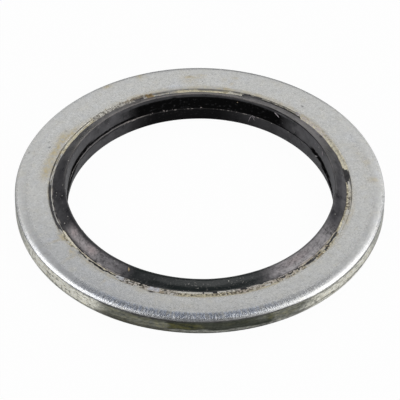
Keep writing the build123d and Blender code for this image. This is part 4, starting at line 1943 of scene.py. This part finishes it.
@dataclass(frozen=True)
class Softbox:
    """A soft lamp that faces the washer from an azimuth and an elevation."""

    name: str
    azimuth: float
    elevation: float
    distance: float
    width: float
    height: float
    radiance: float
    tint: Colour = WHITE

    def build(self) -> bpy.types.Object:
        """Makes the lamp, its power from radiance = power / (pi area).

        Returns:
            The lamp.
        """
        lamp = bpy.data.lights.new(self.name, "AREA")
        lamp.shape = "RECTANGLE"
        lamp.size, lamp.size_y = self.width, self.height
        lamp.energy = self.radiance * math.pi * self.width * self.height
        lamp.color = self.tint
        made = bpy.data.objects.new(self.name, lamp)
        a, e = math.radians(self.azimuth), math.radians(self.elevation)
        towards = Vector((math.cos(a) * math.cos(e), math.sin(a) * math.cos(e), math.sin(e)))
        made.location = towards * self.distance
        made.rotation_euler = towards.to_track_quat("Z", "Y").to_euler()
        made.visible_camera = False
        bpy.context.scene.collection.objects.link(made)
        return made


@dataclass
class Studio:
    """The camera, a plain white floor, a pale world and the softboxes."""

    elevation: float = 43.332
    distance_mm: float = 231.5
    pixels_per_mm: float = 14.2288
    right_px: float = -0.3
    up_px: float = 11.58
    roll: float = -0.0078
    target_height: float = 1.95
    sensor_mm: float = 36.0
    clip: tuple[float, float] = (0.01, 20.0)
    floor_side: float = 4.0
    floor_gap: float = 0.02
    floor_white: Colour = (0.90, 0.90, 0.90)
    ambient: Colour = (0.105, 0.112, 0.130)
    floor_lift: float = 0.97
    world_lift: float = 1.0
    mirror_lift: float = 0.038
    softboxes: Sequence[Softbox] = (
        Softbox("back_panel", 90.0, 30.6, 0.60, 0.66, 0.41, 0.715, (1.0, 0.995, 0.955)),
        Softbox("back_strip", 90.0, 45.4, 0.60, 0.66, 0.09, 0.10, (1.0, 0.995, 0.955)),
        Softbox("left_box", 134.0, 57.5, 0.55, 0.08, 0.22, 4.2, (1.0, 1.0, 0.99)),
        Softbox("right_box", 44.0, 57.0, 0.55, 0.20, 0.25, 2.3, (1.0, 1.0, 0.99)),
        Softbox("left_side_box", 161.0, 42.0, 0.55, 0.18, 0.18, 1.48, (1.0, 0.99, 0.98)),
        Softbox("right_low_box", 52.0, 24.0, 0.55, 0.14, 0.18, 0.9),
        Softbox("right_side_box", 0.0, 55.0, 0.55, 0.18, 0.18, 2.45, (1.0, 0.99, 0.98)),
        Softbox("front_fill", 275.0, 28.0, 0.70, 1.00, 0.60, 1.38),
    )

    def camera(self) -> bpy.types.Object:
        """Stands the camera at its elevation in front of the washer.  The point it looks at is the face's
        centre, moved so that the face's centre lands right_px and up_px off the middle of the image, and its
        frame is turned by roll.

        Returns:
            The camera.
        """
        e = math.radians(self.elevation)
        target = Vector((0.0, 0.0, self.target_height * MM))
        back = Vector((0.0, -math.cos(e), math.sin(e)))
        right, up = Vector((1.0, 0.0, 0.0)), Vector((0.0, math.sin(e), math.cos(e)))
        place = target + back * self.distance_mm * MM
        aim = target - (right * self.right_px + up * self.up_px) / self.pixels_per_mm * MM
        axis = (place - aim).normalized()
        side = up.cross(axis).normalized()
        over = axis.cross(side)
        turned_side = side * math.cos(self.roll) - over * math.sin(self.roll)
        turned_over = side * math.sin(self.roll) + over * math.cos(self.roll)
        lens = bpy.data.cameras.new("camera")
        lens.sensor_width = self.sensor_mm
        lens.lens = self.sensor_mm * self.distance_mm * self.pixels_per_mm / IMAGE_SIDE
        lens.clip_start, lens.clip_end = self.clip
        made = bpy.data.objects.new("camera", lens)
        made.matrix_world = Matrix.Translation(place) @ Matrix(
            (turned_side, turned_over, axis)
        ).transposed().to_4x4()
        bpy.context.scene.collection.objects.link(made)
        bpy.context.scene.camera = made
        return made

    def seen_share(self, g: Graph, lift: float) -> Socket:
        """How white the ground is made for each ray: by a lift for the camera, and a little for reflections
        and see-through rays, which keep the washer's own shadow.

        Args:
            g: the graph that is written.
            lift: the share for the camera.

        Returns:
            The share of plain white.
        """
        path_node = g.node("ShaderNodeLightPath", {}, {})
        camera, glossy, through = (
            Socket(g, path_node.outputs[f"Is {ray} Ray"]) for ray in ("Camera", "Glossy", "Transmission")
        )
        return lift * camera + self.mirror_lift * (glossy + through)

    def floor(self) -> bpy.types.Object:
        """A flat white floor just under the lower lip, mixed with plain white of strength 1.

        Returns:
            The floor.
        """
        half, depth = self.floor_side / 2, -self.floor_gap * MM
        corners = [(-half, -half, depth), (half, -half, depth), (half, half, depth), (-half, half, depth)]
        made = mesh_object("floor", np.array(corners), np.arange(len(corners))[None])
        material, g = new_material("white_floor")
        lit = g.node("ShaderNodeBsdfDiffuse", {}, {"Color": self.floor_white})
        plain = g.node("ShaderNodeEmission", {}, {"Color": WHITE, "Strength": 1.0})
        g.finish(g.blend(self.seen_share(g, self.floor_lift), lit, plain))
        made.data.materials.append(material)
        return made

    def world(self) -> bpy.types.World:
        """A dim cool surround for the light, and plain white where it is seen.

        Returns:
            The world.
        """
        made = bpy.data.worlds.new("studio")
        made.use_nodes = True
        g = Graph(made.node_tree)
        colour = g.mix(self.seen_share(g, self.world_lift), self.ambient, WHITE)
        ground = g.node("ShaderNodeBackground", {}, {"Color": colour, "Strength": 1.0})
        g.finish(ground, "ShaderNodeOutputWorld")
        bpy.context.scene.world = made
        return made

    def build(self) -> None:
        """Sets up the whole studio: view transform, camera, floor, world and softboxes."""
        bpy.context.scene.view_settings.view_transform = "Standard"
        self.camera()
        self.floor()
        self.world()
        for softbox in self.softboxes:
            softbox.build()


# ---- main


def main() -> None:
    """Builds the studio and each piece in order, and reports the pieces."""
    logging.basicConfig(level=logging.INFO, format="%(name)s: %(message)s")
    steel_low, steel_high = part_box("steel_ring")
    rubber_low, rubber_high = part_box("rubber_seal")
    Studio().build()
    ring = SteelRing(outer_radius=(steel_high.x - steel_low.x) / 2 / MM - CAD_MARGIN)
    bead = RubberBead(height=(rubber_high.z - rubber_low.z) / MM)
    rubber = RubberFinish().material()
    residue = LedgeFilm(ring, FilmKind.RESIDUE, RESIDUE_BANDS, RESIDUE_TINTS, banks=RESIDUE_BANKS)
    flash_and_gap_shade = LedgeFilm(ring, FilmKind.FLASH_AND_GAP_SHADE, FLASH_AND_GAP_SHADE_BANDS, FLASH_TINTS, thickness=0.045, seed=81)
    pieces = (
        ring.build(ZincFinish()),
        bead.build(rubber),
        residue.build(ResidueFinish().material(), STEEL_SLOT),
        flash_and_gap_shade.build(rubber, RUBBER_SLOT),
        DustCrumbs("white_crumbs", WHITE_CRUMBS, seed=91).build(ring, bead, WHITE_DUST, RUBBER_SLOT),
        DustCrumbs("ridge_highlight_crumbs", RIDGE_HIGHLIGHT_CRUMBS, seed=92).build(ring, bead, RIDGE_HIGHLIGHT_DUST, RUBBER_SLOT),
        DustCrumbs("cream_crumbs", CREAM_CRUMBS, seed=93).build(ring, bead, CREAM_DUST, RUBBER_SLOT),
        LintFibres("lint_fibres", LINT).build(GREY_LINT, RUBBER_SLOT),
    )
    for piece in pieces:
        log.info("%s: %d faces", piece.name, len(piece.data.polygons))


if __name__ == "__main__":
    main()
